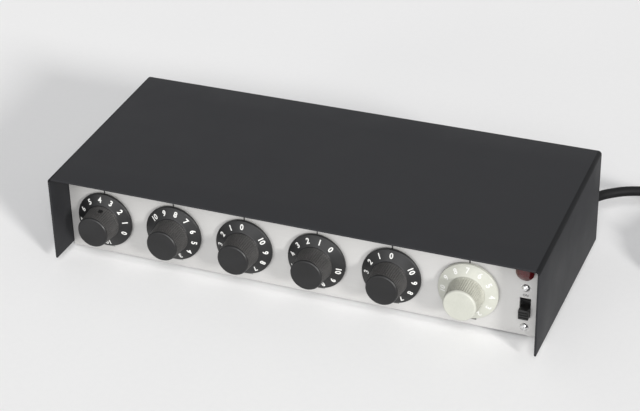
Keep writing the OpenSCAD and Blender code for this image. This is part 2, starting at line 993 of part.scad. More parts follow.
module transistors() {
    can_r = 2.4;
    can_h = 5;
    leg = 3;
    leg_r = 0.25;
    leg_step = 1.27;
    apart = 10;
    color("#2a2a2a")
        for (s = [-1, 1])
            on_channels(s * apart / 2, transistor_row) {
                difference() {
                    rod(can_r, leg, leg + can_h);
                    block([-can_r, can_r / 2, leg - cut], [can_r, can_r + cut, leg + can_h + cut]);
                }
                for (x = [-leg_step, 0, leg_step])
                    translate([x, 0, 0])
                        rod(leg_r, 0, leg + cut);
            }
}

module resistors() {
    body_r = 1.2;
    up = 2;
    half_l = 3.25;
    wire_r = 0.35;
    wire_out = 1.5;
    reach = half_l + wire_out;
    step = 5;
    color("#c8a878")
        for (s = [-1.5 : 1 : 1.5])
            on_channels(s * step, resistor_row) {
                to_back(0, -half_l, up)
                    rod(body_r, 0, 2 * half_l);
                to_back(0, -reach, up)
                    rod(wire_r, 0, 2 * reach);
                for (e = [-reach, reach])
                    translate([0, e, 0]) {
                        rod(wire_r, 0, up);
                        translate([0, 0, up])
                            sphere(wire_r);
                    }
            }
}

// Mains transformer: laminated core with two windows, winding round the middle leg, strap over the top

module at_transformer() {
    translate([transformer_x, transformer_y, floor_top])
        children();
}

module transformer_core() {
    color("#5c6064")
        at_transformer()
            difference() {
                block([-core_w / 2, -core_d / 2, 0], [core_w / 2, core_d / 2, core_h]);
                for (s = [0, 1])
                    mirror([s, 0, 0])
                        block(
                            [core_leg, -core_d, core_leg],
                            [core_leg + window_w, core_d, core_leg + window_h]
                        );
            }
}

module transformer_winding() {
    half_w = core_leg + window_w - winding_gap;
    color("#b98a3c")
        at_transformer()
            difference() {
                block(
                    [-half_w, -core_d / 2 - winding_out, core_leg + winding_gap],
                    [half_w, core_d / 2 + winding_out, core_leg + window_h - winding_gap]
                );
                block(
                    [-core_leg - winding_gap, -core_d / 2 - winding_gap, 0],
                    [core_leg + winding_gap, core_d / 2 + winding_gap, core_h]
                );
            }
}

module transformer_bracket() {
    out_x = core_w / 2 + bracket_t;
    color("#a9adb0")
        at_transformer()
            difference() {
                union() {
                    difference() {
                        block([-out_x, -bracket_w / 2, 0], [out_x, bracket_w / 2, core_h + bracket_t]);
                        block([-core_w / 2, -bracket_w, -cut], [core_w / 2, bracket_w, core_h]);
                    }
                    for (s = [0, 1])
                        mirror([s, 0, 0])
                            block(
                                [core_w / 2, -bracket_w / 2, 0],
                                [out_x + bracket_ear, bracket_w / 2, bracket_t]
                            );
                }
                for (s = [-1, 1])
                    translate([s * (out_x + bracket_ear / 2), 0, 0])
                        rod(screw_r + thread_gap, -cut, bracket_t + cut);
            }
}

module transformer_screws() {
    color("silver")
        at_transformer()
            for (s = [-1, 1])
                translate([s * (core_w / 2 + bracket_t + bracket_ear / 2), 0, bracket_t])
                    screw(bracket_t + chassis_t + screw_end);
}

// Strain relief: a collar on each side of the rear wall and a tapered boot

module strain_relief() {
    color("#18181a")
        to_back(cord_x, rear_y, cord_up) {
            rod(lip_r, -chassis_t - collar_t, -chassis_t);
            rod(neck_r, -chassis_t - cut, cut);
            rod(collar_r, 0, collar_t);
            translate([0, 0, collar_t - cut])
                cylinder(r1 = boot_r, r2 = boot_end_r, h = relief_l - collar_t + cut);
        }
}

// Mains cord: the free stretch, its coil, the tie and the plug

module cord() {
    color("#161618")
        tube(cord_points, cord_r, cord_sides, [0, 1, 0], [1, 0, 0]);
}

module cord_coil() {
    color("#161618")
        tube(coil_points, cord_r, coil_sides, [1, 0, 0], [0, -1, 0]);
}

module cord_tie() {
    color("#2b2b2b")
        difference() {
            block(
                [coil_x - tie_out_r - tie_t, coil_y - tie_w / 2, 0],
                [coil_x - tie_in_r + tie_t, coil_y + tie_w / 2, tie_top + tie_t]
            );
            block(
                [coil_x - tie_out_r, coil_y - tie_w, tie_t],
                [coil_x - tie_in_r, coil_y + tie_w, tie_top]
            );
        }
}

module plug_body() {
    half_w = plug_w / 2 - plug_corner;
    half_t = plug_t / 2 - plug_corner;
    color("#161618")
        to_front(plug_x, plug_y, plug_z) {
            cylinder(r1 = cord_r + tail_wall, r2 = plug_t / 2 - tail_step, h = plug_tail);
            translate([0, 0, plug_tail - cut / 2])
                linear_extrude(plug_l + cut / 2) {
                    square([2 * half_w, plug_t], center = true);
                    square([plug_w, 2 * half_t], center = true);
                    for (x = [-half_w, half_w])
                        for (y = [-half_t, half_t])
                            translate([x, y])
                                circle(plug_corner);
                }
        }
}

module plug_blades() {
    face = plug_tail + plug_l;
    color("#c9b26a")
        to_front(plug_x, plug_y, plug_z) {
            for (s = [-1, 1])
                block(
                    [s * blade_pitch / 2 - blade_t / 2, blade_up - blade_w / 2, face],
                    [s * blade_pitch / 2 + blade_t / 2, blade_up + blade_w / 2, face + blade_l]
                );
            translate([0, blade_up - ground_drop, 0])
                rod(ground_r, face, face + ground_l);
        }
}

cover();
front_panel();
chassis();
feet();
foot_screws();
cover_screws();
black_knob(1);  // knob_1
black_knob(2);  // knob_2
black_knob(3);  // knob_3
black_knob(4);  // knob_4
black_knob(5);  // knob_5
ivory_knob(6);  // knob_6
shaft(1);  // shaft_1
shaft(2);  // shaft_2
shaft(3);  // shaft_3
shaft(4);  // shaft_4
shaft(5);  // shaft_5
shaft(6);  // shaft_6
set_screw(1);  // set_screw_1
set_screw(2);  // set_screw_2
set_screw(3);  // set_screw_3
set_screw(4);  // set_screw_4
set_screw(5);  // set_screw_5
set_screw(6);  // set_screw_6
pot_housings();
pot_caps();
pot_nuts();
pot_leads();
pilot_lens();
pilot_ring();
pilot_bulb();
switch_frame();
switch_base();
switch_slider();
switch_screws();
switch_nuts();
jack_bodies();
jack_nuts();
jack_leads();
circuit_board();
standoffs();
board_screws();
capacitors();
supply_capacitors();
transistors();
resistors();
transformer_core();
transformer_winding();
transformer_bracket();
transformer_screws();
strain_relief();
cord();
cord_coil();
cord_tie();
plug_body();
plug_blades();
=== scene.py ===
import math
import bmesh
import bpy
from mathutils import Matrix, Quaternion, Vector


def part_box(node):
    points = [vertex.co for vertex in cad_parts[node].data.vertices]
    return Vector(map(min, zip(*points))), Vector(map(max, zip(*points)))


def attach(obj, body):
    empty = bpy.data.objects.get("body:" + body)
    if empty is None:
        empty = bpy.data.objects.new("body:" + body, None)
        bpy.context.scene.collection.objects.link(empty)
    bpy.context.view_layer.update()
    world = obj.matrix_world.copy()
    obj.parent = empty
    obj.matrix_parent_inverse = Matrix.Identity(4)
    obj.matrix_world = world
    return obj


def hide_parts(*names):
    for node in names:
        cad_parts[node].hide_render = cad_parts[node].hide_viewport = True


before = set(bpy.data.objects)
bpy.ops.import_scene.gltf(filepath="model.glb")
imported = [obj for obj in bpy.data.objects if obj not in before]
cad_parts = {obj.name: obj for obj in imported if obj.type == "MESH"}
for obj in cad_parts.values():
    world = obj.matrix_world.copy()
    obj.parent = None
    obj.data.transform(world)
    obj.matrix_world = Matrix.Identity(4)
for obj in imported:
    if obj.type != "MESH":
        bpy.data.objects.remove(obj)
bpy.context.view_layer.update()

# Camera
# A camera on a stand to the front right of the mixer, looking down on it and a little out of level.
# It is placed by its turn from the front, its rise above the table and its distance from an aim point.
camera_turn = math.radians(22.68)
camera_rise = math.radians(30.18)
camera_roll = math.radians(-1.37)
camera_distance = 1.0468
camera_aim = Vector((-0.0037, 0, 0.0339))
camera_lens = 100
camera_sensor = 36
upright = Vector((0, 0, 1))


def towards(turn, rise):
    """Unit vector from the mixer to a turn from the front and a rise above the table."""
    level = math.cos(rise)
    return Vector((math.sin(turn) * level, -math.cos(turn) * level, math.sin(rise)))


def add_object(name, data):
    """New object at the origin, shown in the scene."""
    thing = bpy.data.objects.new(name, data)
    bpy.context.scene.collection.objects.link(thing)
    return thing


def aim(thing, turn, rise, distance, target, roll=0.0):
    """Stands a lamp or the camera off a target, facing it."""
    outwards = towards(turn, rise)
    facing = (-outwards).to_track_quat("-Z", "Y") @ Quaternion(upright, roll)
    thing.matrix_world = Matrix.Translation(target + distance * outwards) @ facing.to_matrix().to_4x4()


camera = add_object("camera", bpy.data.cameras.new("camera"))
camera.data.lens = camera_lens
camera.data.sensor_width = camera_sensor
aim(camera, camera_turn, camera_rise, camera_distance, camera_aim, camera_roll)
bpy.context.scene.camera = camera

# Table top and light
# The mixer stands on a plain white table top in a pale room, lit by a low lamp on its right, soft light
# from the front and from above, and a weak low lamp in front. The room itself looks nearly white, to the
# camera and in shiny surfaces.
table_size = 12
table_white = (0.88, 0.88, 0.88)
table_shade = (0.85, 0.85, 0.855)
room_colour = (0.98, 0.985, 1.0, 1)
room_light = 0.255
room_seen = 0.92
lamp_distance = 2
light_target = Vector((0, 0, 0.03))
noise_span = (0.3, 0.7)


def far_lamp(name, turn, rise, spread, strength, colour=(1, 1, 1)):
    """Even light from a turn and a rise in degrees; the spread is how wide the lamp looks, in degrees."""
    lamp = bpy.data.lights.new(name, "SUN")
    lamp.angle = math.radians(spread)
    lamp.energy = strength
    lamp.color = colour
    aim(add_object(name, lamp), math.radians(turn), math.radians(rise), lamp_distance, light_target)


far_lamp("side lamp", turn=54, rise=18, spread=9, strength=2.65, colour=(1, 0.99, 0.97))
far_lamp("low front lamp", turn=-19, rise=7, spread=16, strength=0.45)
far_lamp("front light", turn=20, rise=35, spread=30, strength=2.2)
far_lamp("top light", turn=-30, rise=70, spread=110, strength=0.11)


def add_node(tree, kind, **settings):
    """New shader node with its settings."""
    node = tree.nodes.new("ShaderNode" + kind)
    for key, value in settings.items():
        setattr(node, key, value)
    return node


def set_inputs(node, **values):
    """Sets a node's inputs by name, with _ for a space."""
    for key, value in values.items():
        node.inputs[key.replace("_", " ")].default_value = value


room = bpy.data.worlds.new("room")
room.use_nodes = True
room_tree = room.node_tree
rays = add_node(room_tree, "LightPath").outputs
seen = rays["Is Camera Ray"]
for kind in ("Is Glossy Ray", "Is Transmission Ray"):
    either = add_node(room_tree, "Math", operation="MAXIMUM")
    room_tree.links.new(seen, either.inputs[0])
    room_tree.links.new(rays[kind], either.inputs[1])
    seen = either.outputs["Value"]
room_level = add_node(room_tree, "MapRange")
set_inputs(room_level, To_Min=room_light, To_Max=room_seen)
room_tree.links.new(seen, room_level.inputs["Value"])
backdrop = room_tree.nodes["Background"]
set_inputs(backdrop, Color=room_colour)
room_tree.links.new(room_level.outputs["Result"], backdrop.inputs["Strength"])
bpy.context.scene.world = room
bpy.context.scene.view_settings.view_transform = "Standard"


def surface_group(name, cloud_look, grain_look, grain_stretch, grain_share, tones, grain_shines):
    """Shared effect: colour between two shades, uneven shine and a fine height, from clouds and a grain.

    A look is a noise's detail and roughness; tones are the mixed noise at the dark and at the light shade.
    """
    group = bpy.data.node_groups.new(name, "ShaderNodeTree")
    inputs = ("Colour Dark", "Colour Light", "Cloud Scale", "Grain Scale", "Shine Low", "Shine High")
    for in_out, titles in (("INPUT", inputs), ("OUTPUT", ("Colour", "Roughness", "Height"))):
        for title in titles:
            kind = "NodeSocketColor" if title.startswith("Colour") else "NodeSocketFloat"
            group.interface.new_socket(title, in_out=in_out, socket_type=kind)
    given = group.nodes.new("NodeGroupInput").outputs
    result = group.nodes.new("NodeGroupOutput").inputs
    place = add_node(group, "TexCoord").outputs["Object"]
    stretch = add_node(group, "Mapping")
    set_inputs(stretch, Scale=grain_stretch)
    clouds = add_node(group, "TexNoise")
    set_inputs(clouds, Detail=cloud_look[0], Roughness=cloud_look[1])
    grain = add_node(group, "TexNoise")
    set_inputs(grain, Detail=grain_look[0], Roughness=grain_look[1])
    mixed = add_node(group, "Math", operation="MULTIPLY_ADD")
    mixed.inputs[1].default_value = grain_share
    tone = add_node(group, "MapRange")
    set_inputs(tone, From_Min=tones[0], From_Max=tones[1])
    shade = add_node(group, "Mix", data_type="RGBA")
    shine = add_node(group, "MapRange")
    set_inputs(shine, From_Min=noise_span[0], From_Max=noise_span[1])
    shine_source = grain if grain_shines else clouds
    join = group.links.new
    join(place, clouds.inputs["Vector"])
    join(place, stretch.inputs["Vector"])
    join(stretch.outputs["Vector"], grain.inputs["Vector"])
    join(given["Cloud Scale"], clouds.inputs["Scale"])
    join(given["Grain Scale"], grain.inputs["Scale"])
    join(grain.outputs["Fac"], mixed.inputs[0])
    join(clouds.outputs["Fac"], mixed.inputs[2])
    join(mixed.outputs["Value"], tone.inputs["Value"])
    join(tone.outputs["Result"], shade.inputs["Factor"])
    join(given["Colour Dark"], shade.inputs["A"])
    join(given["Colour Light"], shade.inputs["B"])
    join(shine_source.outputs["Fac"], shine.inputs["Value"])
    join(given["Shine Low"], shine.inputs["To Min"])
    join(given["Shine High"], shine.inputs["To Max"])
    join(shade.outputs["Result"], result["Colour"])
    join(shine.outputs["Result"], result["Roughness"])
    join(grain.outputs["Fac"], result["Height"])
    return group


cloudy_surface = surface_group(
    "cloudy surface", cloud_look=(4.0, 0.6), grain_look=(2.0, 0.5), grain_stretch=(1, 1, 1),
    grain_share=0.35, tones=(0.45, 0.9), grain_shines=False,
)


def new_material(name, **shader_values):
    """Material with values set on its shader, and its node tree."""
    material = bpy.data.materials.new(name)
    material.use_nodes = True
    set_inputs(material.node_tree.nodes["Principled BSDF"], **shader_values)
    return material, material.node_tree


def feed_shader(tree, colour, roughness, height, depth):
    """Leads a colour, a roughness and a height of some depth in metres to a material's shader."""
    shader = tree.nodes["Principled BSDF"].inputs
    relief = add_node(tree, "Bump")
    set_inputs(relief, Distance=depth)
    tree.links.new(height, relief.inputs["Height"])
    tree.links.new(colour, shader["Base Color"])
    tree.links.new(roughness, shader["Roughness"])
    tree.links.new(relief.outputs["Normal"], shader["Normal"])


def finish(
    name, dark, light, shine, clouds=60, grain=1500, depth=0.00002, surface=cloudy_surface, **shader_values
):
    """Material with one of the shared surface effects; depth is the height of its grain in metres."""
    material, tree = new_material(name, **shader_values)
    effect = add_node(tree, "Group", node_tree=surface)
    set_inputs(effect, Colour_Dark=(*dark, 1), Colour_Light=(*light, 1))
    set_inputs(effect, Cloud_Scale=clouds, Grain_Scale=grain, Shine_Low=shine[0], Shine_High=shine[1])
    given = effect.outputs
    feed_shader(tree, given["Colour"], given["Roughness"], given["Height"], depth)
    return material


def as_mesh(name, form):
    """Mesh from a form, which is used up."""
    mesh = bpy.data.meshes.new(name)
    form.to_mesh(mesh)
    form.free()
    return mesh


table_form = bmesh.new()
bmesh.ops.create_grid(table_form, x_segments=1, y_segments=1, size=table_size / 2)
table_top = add_object("table_top", as_mesh("table_top", table_form))
table_finish = finish(
    "table white", table_shade, table_white, (0.75, 0.85), clouds=2, grain=300, Specular_IOR_Level=0.1
)
table_top.data.materials.append(table_finish)

# Mains cord
# A black rubber-sheathed three-core lead that leaves the rear wall through its strain relief, bends to the
# right, comes down on the table and is wound there into a coil of two layers that ends in the plug.
mm = 0.001
cord_radius = 3 * mm
cord_low = 4.1 * mm
cord_route = [
    (0, 0, 1), (0, 5, 1), (2, 16, 1), (7, 26, 1), (15, 34, 1), (25, 40, 1), (36, 44, 0.95),
    (48, 47, 0.8), (60, 49, 0.55), (72, 50, 0.28), (84, 51, 0.08), (96, 51, 0),
]
coil_lead = 6 * mm
coil_inner = 24.6 * mm
coil_pitch = 6.5 * mm
coil_turns_in = 3.5
coil_turns_out = 3.75
coil_climb = 0.25
coil_start = math.radians(90)
coil_steps = 24
plug_lead = 30 * mm
relief_low, relief_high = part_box("strain_relief")
cord_exit = Vector(((relief_low.x + relief_high.x) / 2, relief_high.y, (relief_low.z + relief_high.z) / 2))


def coil_point(turn):
    """Point on the coil's line; the turns count from the inmost one, less than 0 in the lower layer."""
    radius = coil_inner + coil_pitch * abs(turn)
    angle = coil_start - math.tau * (turn + coil_turns_in)
    climb = (1 + math.sin(math.tau * min(max(turn, -coil_climb), coil_climb))) / 2
    return coil_centre + Vector((radius * math.cos(angle), radius * math.sin(angle), coil_pitch * climb))


cord_points = [
    Vector((cord_exit.x + right * mm, cord_exit.y + back * mm, cord_low + share * (cord_exit.z - cord_low)))
    for right, back, share in cord_route
]
coil_centre = cord_points[-1] + Vector((coil_lead, -coil_inner - coil_pitch * coil_turns_in, 0))
for step in range(round(coil_steps * (coil_turns_in + coil_turns_out)) + 1):
    cord_points.append(coil_point(step / coil_steps - coil_turns_in))
plug_start = cord_points[-1] + Vector((0, -plug_lead, 0))
cord_points.append((cord_points[-1] + plug_start) / 2)
cord_points.append(plug_start)

cord_line = bpy.data.curves.new("mains_cord", "CURVE")
cord_line.dimensions = "3D"
cord_line.bevel_depth = cord_radius
cord_line.bevel_resolution = 5
cord_line.resolution_u = 4
cord_line.use_fill_caps = True
cord_run = cord_line.splines.new("BEZIER")
cord_run.bezier_points.add(len(cord_points) - 1)
for knot, point in zip(cord_run.bezier_points, cord_points):
    knot.co = point
    knot.handle_left_type = "AUTO"
    knot.handle_right_type = "AUTO"
cord_rubber = finish(
    "cord rubber", (0.0045, 0.0045, 0.005), (0.009, 0.009, 0.0095), (0.55, 0.7), clouds=140,
    Specular_IOR_Level=0.14,
)
cord_line.materials.append(cord_rubber)
mains_cord = add_object("mains_cord", cord_line)
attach(mains_cord, "case")
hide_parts("cord", "cord_coil")

# Strain relief
# A black moulded grommet snapped into the rear wall: a collar outside, and a ribbed boot that tapers
# along the cord so that it can't kink at the wall.
relief_collar = (8, 2.5)
relief_root = (6, 2.5)
relief_end = (4.2, 18)
collar_round = 0.5
boot_round = 0.4
boot_ribs = 5
boot_groove = (0.45, 0.8)
boot_groove_depth = 0.7
groove_slope = 0.1
round_steps = 3
merge_within = 1e-6
facing_back = Matrix.Rotation(math.radians(-90), 4, "X")


def close_up(form):
    """Merges doubled points and turns every face outwards."""
    bmesh.ops.remove_doubles(form, verts=form.verts, dist=merge_within)
    bmesh.ops.recalc_face_normals(form, faces=form.faces)
    return form


def line_through(form, points, closed=False):
    """Line of edges through points; gives its corners."""
    corners = [form.verts.new(point) for point in points]
    following = corners[1:] + corners[:1] if closed else corners[1:]
    for one, other in zip(corners, following):
        form.edges.new((one, other))
    return corners


def round_off(form, parts, radius, segments, affect="EDGES"):
    """Rounds some of a form's edges, or the corners of a line with VERTICES."""
    bmesh.ops.bevel(
        form, geom=parts, offset=radius, offset_type="OFFSET", segments=segments, profile=0.5, affect=affect,
        material=-1, clamp_overlap=affect == "EDGES",
    )


def turned(outline, steps=64):
    """Solid turned about Z from an outline of (radius, height) or (radius, height, rounding) in mm."""
    form = bmesh.new()
    corners = line_through(form, [(corner[0] * mm, 0, corner[1] * mm) for corner in outline])
    for point, corner in zip(corners, outline):
        if len(corner) == 3:
            round_off(form, [point], corner[2] * mm, round_steps, "VERTICES")
    bmesh.ops.spin(
        form, geom=form.verts[:] + form.edges[:], cent=(0, 0, 0), axis=upright, dvec=(0, 0, 0),
        angle=math.tau, steps=steps, use_merge=True, use_duplicate=False,
    )
    return close_up(form)


def ribbed(root, end, ribs, groove, depth):
    """Outline of a taper between two (radius, height) ends; a groove lies at its shares of each rib."""
    start, stop = groove
    profile = ((start - groove_slope, 0), (start, depth), (stop, depth), (stop + groove_slope, 0))
    points = []
    for rib in range(ribs):
        for along, drop in profile:
            share = (rib + along) / ribs
            radius = root[0] + (end[0] - root[0]) * share - drop
            points.append((radius, root[1] + (end[1] - root[1]) * share))
    return points


def moved(form, matrix):
    """The whole form moved by a matrix."""
    bmesh.ops.transform(form, matrix=matrix, verts=form.verts)
    return form


def add_piece(name, form, material, body, replaced=(), crease=32):
    """Object from a form, smooth but for edges sharper than the crease, riding on a body of the frame."""
    piece = add_object(name, as_mesh(name, form))
    piece.data.shade_smooth()
    piece.data.set_sharp_from_angle(angle=math.radians(crease))
    piece.data.materials.append(material)
    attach(piece, body)
    if replaced:
        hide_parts(*replaced)
    return piece


relief_outline = [(0, 0), (relief_collar[0], 0), (*relief_collar, collar_round), relief_root]
relief_outline += ribbed(relief_root, relief_end, boot_ribs, boot_groove, boot_groove_depth)
relief_outline += [(*relief_end, boot_round), (0, relief_end[1])]
relief_wall = Vector((cord_exit.x, cord_exit.y - relief_end[1] * mm, cord_exit.z))
strain_relief = add_piece(
    "cord_boot", moved(turned(relief_outline), Matrix.Translation(relief_wall) @ facing_back), cord_rubber,
    "case", ["strain_relief"],
)

# Cord tie
# A strap of black hook-and-loop webbing, drawn tight round one side of the coil and pressed onto itself, so
# that the turns stay together.
tie_low, tie_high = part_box("cord_tie")
tie_thickness = 0.8 * mm
tie_corner = 2 * mm
tie_corner_steps = 5
tie_slack_outside = 3.8 * mm
tie_slack_inside = 1.2 * mm
tie_waist = 7.5 * mm
tie_tuck = 4.9 * mm


def draw_out(form, edges, way):
    """Draws some of a form's edges out into faces, along a way."""
    grown = bmesh.ops.extrude_edge_only(form, edges=edges)["geom"]
    far_points = [item for item in grown if isinstance(item, bmesh.types.BMVert)]
    bmesh.ops.translate(form, vec=way, verts=far_points)


def strap_loop(low, high):
    """Flat strap drawn tight round a box that narrows below its waist, wide along Y."""
    half = tie_thickness / 2
    left, right, bottom, top = low.x + half, high.x - half, low.z + half, high.z - half
    ends = [(left + tie_tuck, bottom), (right - tie_tuck, bottom), (right, tie_waist)]
    ends += [(right, top), (left, top), (left, tie_waist)]
    form = bmesh.new()
    corners = line_through(form, [(x, low.y, z) for x, z in ends], closed=True)
    round_off(form, corners, tie_corner, tie_corner_steps, "VERTICES")
    draw_out(form, form.edges[:], (0, high.y - low.y, 0))
    bmesh.ops.recalc_face_normals(form, faces=form.faces)
    bmesh.ops.solidify(form, geom=form.faces[:], thickness=tie_thickness)
    return form


tie_left = tie_low + Vector((tie_slack_outside, 0, 0))
tie_right = tie_high - Vector((tie_slack_inside, 0, 0))
tie_weave = finish(
    "tie weave", (0.008, 0.008, 0.009), (0.022, 0.022, 0.024), (0.8, 0.95), grain=4000, depth=0.0002
)
cord_tie = add_piece(
    "coil_strap", strap_loop(tie_left, tie_right), tie_weave, "case", ["cord_tie"]
)

# Plug
# A black moulded three-pin plug: one block with finger grooves in its sides, a ribbed tail over the cord,
# two flat brass blades and a round earth pin.
plug_low, plug_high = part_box("plug_body")
plug_length = 26 * mm
plug_corner = 3.2 * mm
plug_crease = 40
tail_narrow = 4.5
tail_wide = 8
tail_length = 14
tail_root = 3
tail_round = 0.5
tail_ribs = 4
tail_groove = (0.3, 0.6)
tail_groove_depth = 0.9
groove_count = 5
groove_pitch = 3.4 * mm
groove_size = Vector((1.6, 1.3, 11)) * mm
blade_size = Vector((1.5, 16, 6.4)) * mm
blade_apart = 12.7 * mm
blade_up = 5 * mm
blade_tip = 0.5 * mm
blade_hole = 1.6
blade_hole_reach = 2
earth_down = 6.9 * mm
earth_radius = 2.4
earth_length = 19
earth_tip = 1.3
earth_taper = 1.6
earth_tip_round = 0.4
earth_round = 0.6
facing_front = Matrix.Rotation(math.radians(90), 4, "X")
facing_right = Matrix.Rotation(math.radians(90), 4, "Y")


def block(low, high, bevel=0.0, segments=2):
    """Box between two corners, with its edges rounded if a bevel is given."""
    form = bmesh.new()
    bmesh.ops.create_cube(form, size=1)
    bmesh.ops.scale(form, vec=Vector(high) - Vector(low), verts=form.verts)
    bmesh.ops.translate(form, vec=(Vector(low) + Vector(high)) / 2, verts=form.verts)
    if bevel:
        round_off(form, form.edges[:], bevel, segments)
    return form


def gathered(forms):
    """Several forms as one mesh, each still a shell of its own."""
    whole = bmesh.new()
    for form in forms:
        part = as_mesh("part", form)
        whole.from_mesh(part)
        bpy.data.meshes.remove(part)
    return whole


def copies(form, places):
    """The form repeated at every place, as one mesh."""
    row = gathered([moved(form.copy(), place) for place in places])
    form.free()
    return row


def combined(form, tool, operation):
    """The form cut by a tool (DIFFERENCE), joined to it (UNION) or kept only within it (INTERSECT)."""
    shapes = [add_object("shape", as_mesh("shape", shape)) for shape in (form, tool)]
    change = shapes[0].modifiers.new("change", "BOOLEAN")
    change.operation = operation
    change.solver = "EXACT"
    change.object = shapes[1]
    result = bmesh.new()
    result.from_object(shapes[0], bpy.context.evaluated_depsgraph_get())
    for shape in shapes:
        mesh = shape.data
        bpy.data.objects.remove(shape)
        bpy.data.meshes.remove(mesh)
    return result


def rod(radius, start, end, steps=32):
    """Plain round bar along Z between two heights, all in mm."""
    return turned([(0, start), (radius, start), (radius, end), (0, end)], steps)


plug_face = plug_low.y
plug_middle = plug_face + plug_length / 2
plug_block = block(plug_low, (plug_high.x, plug_face + plug_length, plug_high.z), plug_corner, segments=4)
groove_rows = [(row - (groove_count - 1) / 2) * groove_pitch for row in range(groove_count)]
groove_places = [
    Matrix.Translation((side, plug_middle + along, plug_start.z))
    for side in (plug_low.x, plug_high.x)
    for along in groove_rows
]
grooves = copies(block(-groove_size / 2, groove_size / 2), groove_places)
plug_block = combined(plug_block, grooves, "DIFFERENCE")
tail_outline = [(0, 0), (tail_narrow, 0, tail_round)]
tail_end = (tail_wide, tail_length)
tail_outline += ribbed((tail_narrow, 0), tail_end, tail_ribs, tail_groove, tail_groove_depth)
tail_outline += [tail_end, (tail_wide, tail_length + tail_root), (0, tail_length + tail_root)]
plug_tail = moved(turned(tail_outline, steps=48), Matrix.Translation(plug_start) @ facing_front)
plug_rubber = finish(
    "plug rubber", (0.0055, 0.0055, 0.006), (0.011, 0.011, 0.0115), (0.5, 0.65), clouds=110,
    Specular_IOR_Level=0.2,
)
mains_plug = add_piece(
    "mains_plug", combined(plug_block, plug_tail, "UNION"), plug_rubber,
    "case", ["plug_body"], crease=plug_crease,
)

blade_forms = []
for side in (-1, 1):
    across = plug_start.x + side * blade_apart / 2
    middle = Vector((across, plug_face - blade_size.y / 2, plug_start.z + blade_up))
    blade = block(middle - blade_size / 2, middle + blade_size / 2)
    tip_edges = [edge for edge in blade.edges if all(corner.co.y < middle.y for corner in edge.verts)]
    round_off(blade, tip_edges, blade_tip, segments=2)
    hole_place = Matrix.Translation(middle + Vector((0, -blade_size.y / 4, 0))) @ facing_right
    hole = moved(rod(blade_hole, -blade_hole_reach, blade_hole_reach), hole_place)
    blade_forms.append(combined(blade, hole, "DIFFERENCE"))
earth_outline = [
    (0, earth_length), (earth_tip, earth_length, earth_tip_round),
    (earth_radius, earth_length - earth_taper, earth_round), (earth_radius, 0), (0, 0),
]
earth_place = Matrix.Translation((plug_start.x, plug_face, plug_start.z - earth_down))
blade_forms.append(moved(turned(earth_outline, steps=32), earth_place @ facing_front))
blade_brass = finish(
    "blade brass", (0.58, 0.44, 0.2), (0.74, 0.6, 0.32), (0.22, 0.38), clouds=90, Metallic=1.0
)
plug_pins = add_piece(
    "plug_pins", gathered(blade_forms), blade_brass, "case", ["plug_blades"],
)

# Cover
# One sheet of mild steel bent into an inverted U and painted a flat charcoal black, with painted shade that
# makes it darker along the two bends. It stands out past the panel as a hood and is cut square at front and
# rear; its lower edges turn in as flanges for the screws.
cover_low, cover_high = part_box("cover")
sheet = 1.2 * mm
front_drop = 6 * mm
cover_bend = 2.2 * mm
bend_steps = 5
bend_lean = (0.1, 0.99)
flange_width = 14 * mm
flange_front = -42.6 * mm
flange_rear = 45 * mm
cover_edge = 0.3 * mm
squarely = 0.9
close = 1e-5


def turn_out(form, way):
    """Turns an open sheet's faces so that the furthest one along a way faces that way."""
    bmesh.ops.recalc_face_normals(form, faces=form.faces)
    furthest = max(form.faces, key=lambda face: face.calc_center_median().dot(way))
    if furthest.normal.dot(way) < 0:
        bmesh.ops.reverse_faces(form, faces=form.faces)


def sheet_wall(piece, thickness, edge):
    """Gives a thin shell its sheet thickness inwards and breaks its sharp edges."""
    wall = piece.modifiers.new("sheet", "SOLIDIFY")
    wall.thickness = thickness
    wall.offset = -1
    wall.use_even_offset = True
    worn = piece.modifiers.new("broken edges", "BEVEL")
    worn.width = edge
    worn.segments = 2
    worn.limit_method = "ANGLE"
    worn.angle_limit = math.radians(50)


hood = block(cover_low, cover_high)
for corner in hood.verts:
    if corner.co.z > cover_low.z + sheet and corner.co.y < 0:
        corner.co.z -= front_drop
hood.normal_update()
open_faces = [face for face in hood.faces if abs(face.normal.y) > squarely or face.normal.z < -squarely]
bmesh.ops.delete(hood, geom=open_faces, context="FACES")
for cut in (flange_front, flange_rear):
    bmesh.ops.bisect_plane(
        hood, geom=hood.verts[:] + hood.edges[:] + hood.faces[:], plane_co=(0, cut, 0), plane_no=(0, 1, 0)
    )
for side in (-1, 1):
    foot = [
        edge for edge in hood.edges
        if all(
            abs(corner.co.z - cover_low.z) < close and side * corner.co.x > 0
            and flange_front - close < corner.co.y < flange_rear + close
            for corner in edge.verts
        )
    ]
    draw_out(hood, foot, (-side * flange_width, 0, 0))
bend_lines = [
    edge for edge in hood.edges
    if all(
        corner.co.z > cover_low.z + flange_width and abs(corner.co.x) > cover_high.x - close
        for corner in edge.verts
    )
    and abs(edge.verts[0].co.y - edge.verts[1].co.y) > close
]
round_off(hood, bend_lines, cover_bend, bend_steps)
turn_out(hood, upright)
# Faces on the two bends take the second material, which is painted shade that darkens the bends.
for face in hood.faces:
    if face.normal.z > 0 and bend_lean[0] < abs(face.normal.x) < bend_lean[1]:
        face.material_index = 1
cover_paint = finish(
    "charcoal paint", (0.0158, 0.0161, 0.0178), (0.0215, 0.022, 0.0241), (0.56, 0.70),
    clouds=24, grain=2200, depth=0.00006, Specular_IOR_Level=0.18,
)
# Second paint: painted shade for the bends, darker and less shiny than the rest of the cover.
bend_shade_paint = finish(
    "bend shade paint", (0.0062, 0.0063, 0.007), (0.0085, 0.0087, 0.0095), (0.5, 0.62),
    clouds=24, grain=2200, depth=0.00003, Specular_IOR_Level=0.1,
)
cover = add_piece("hood", hood, cover_paint, "case", ["cover"])
cover.data.materials.append(bend_shade_paint)
sheet_wall(cover, sheet, cover_edge)

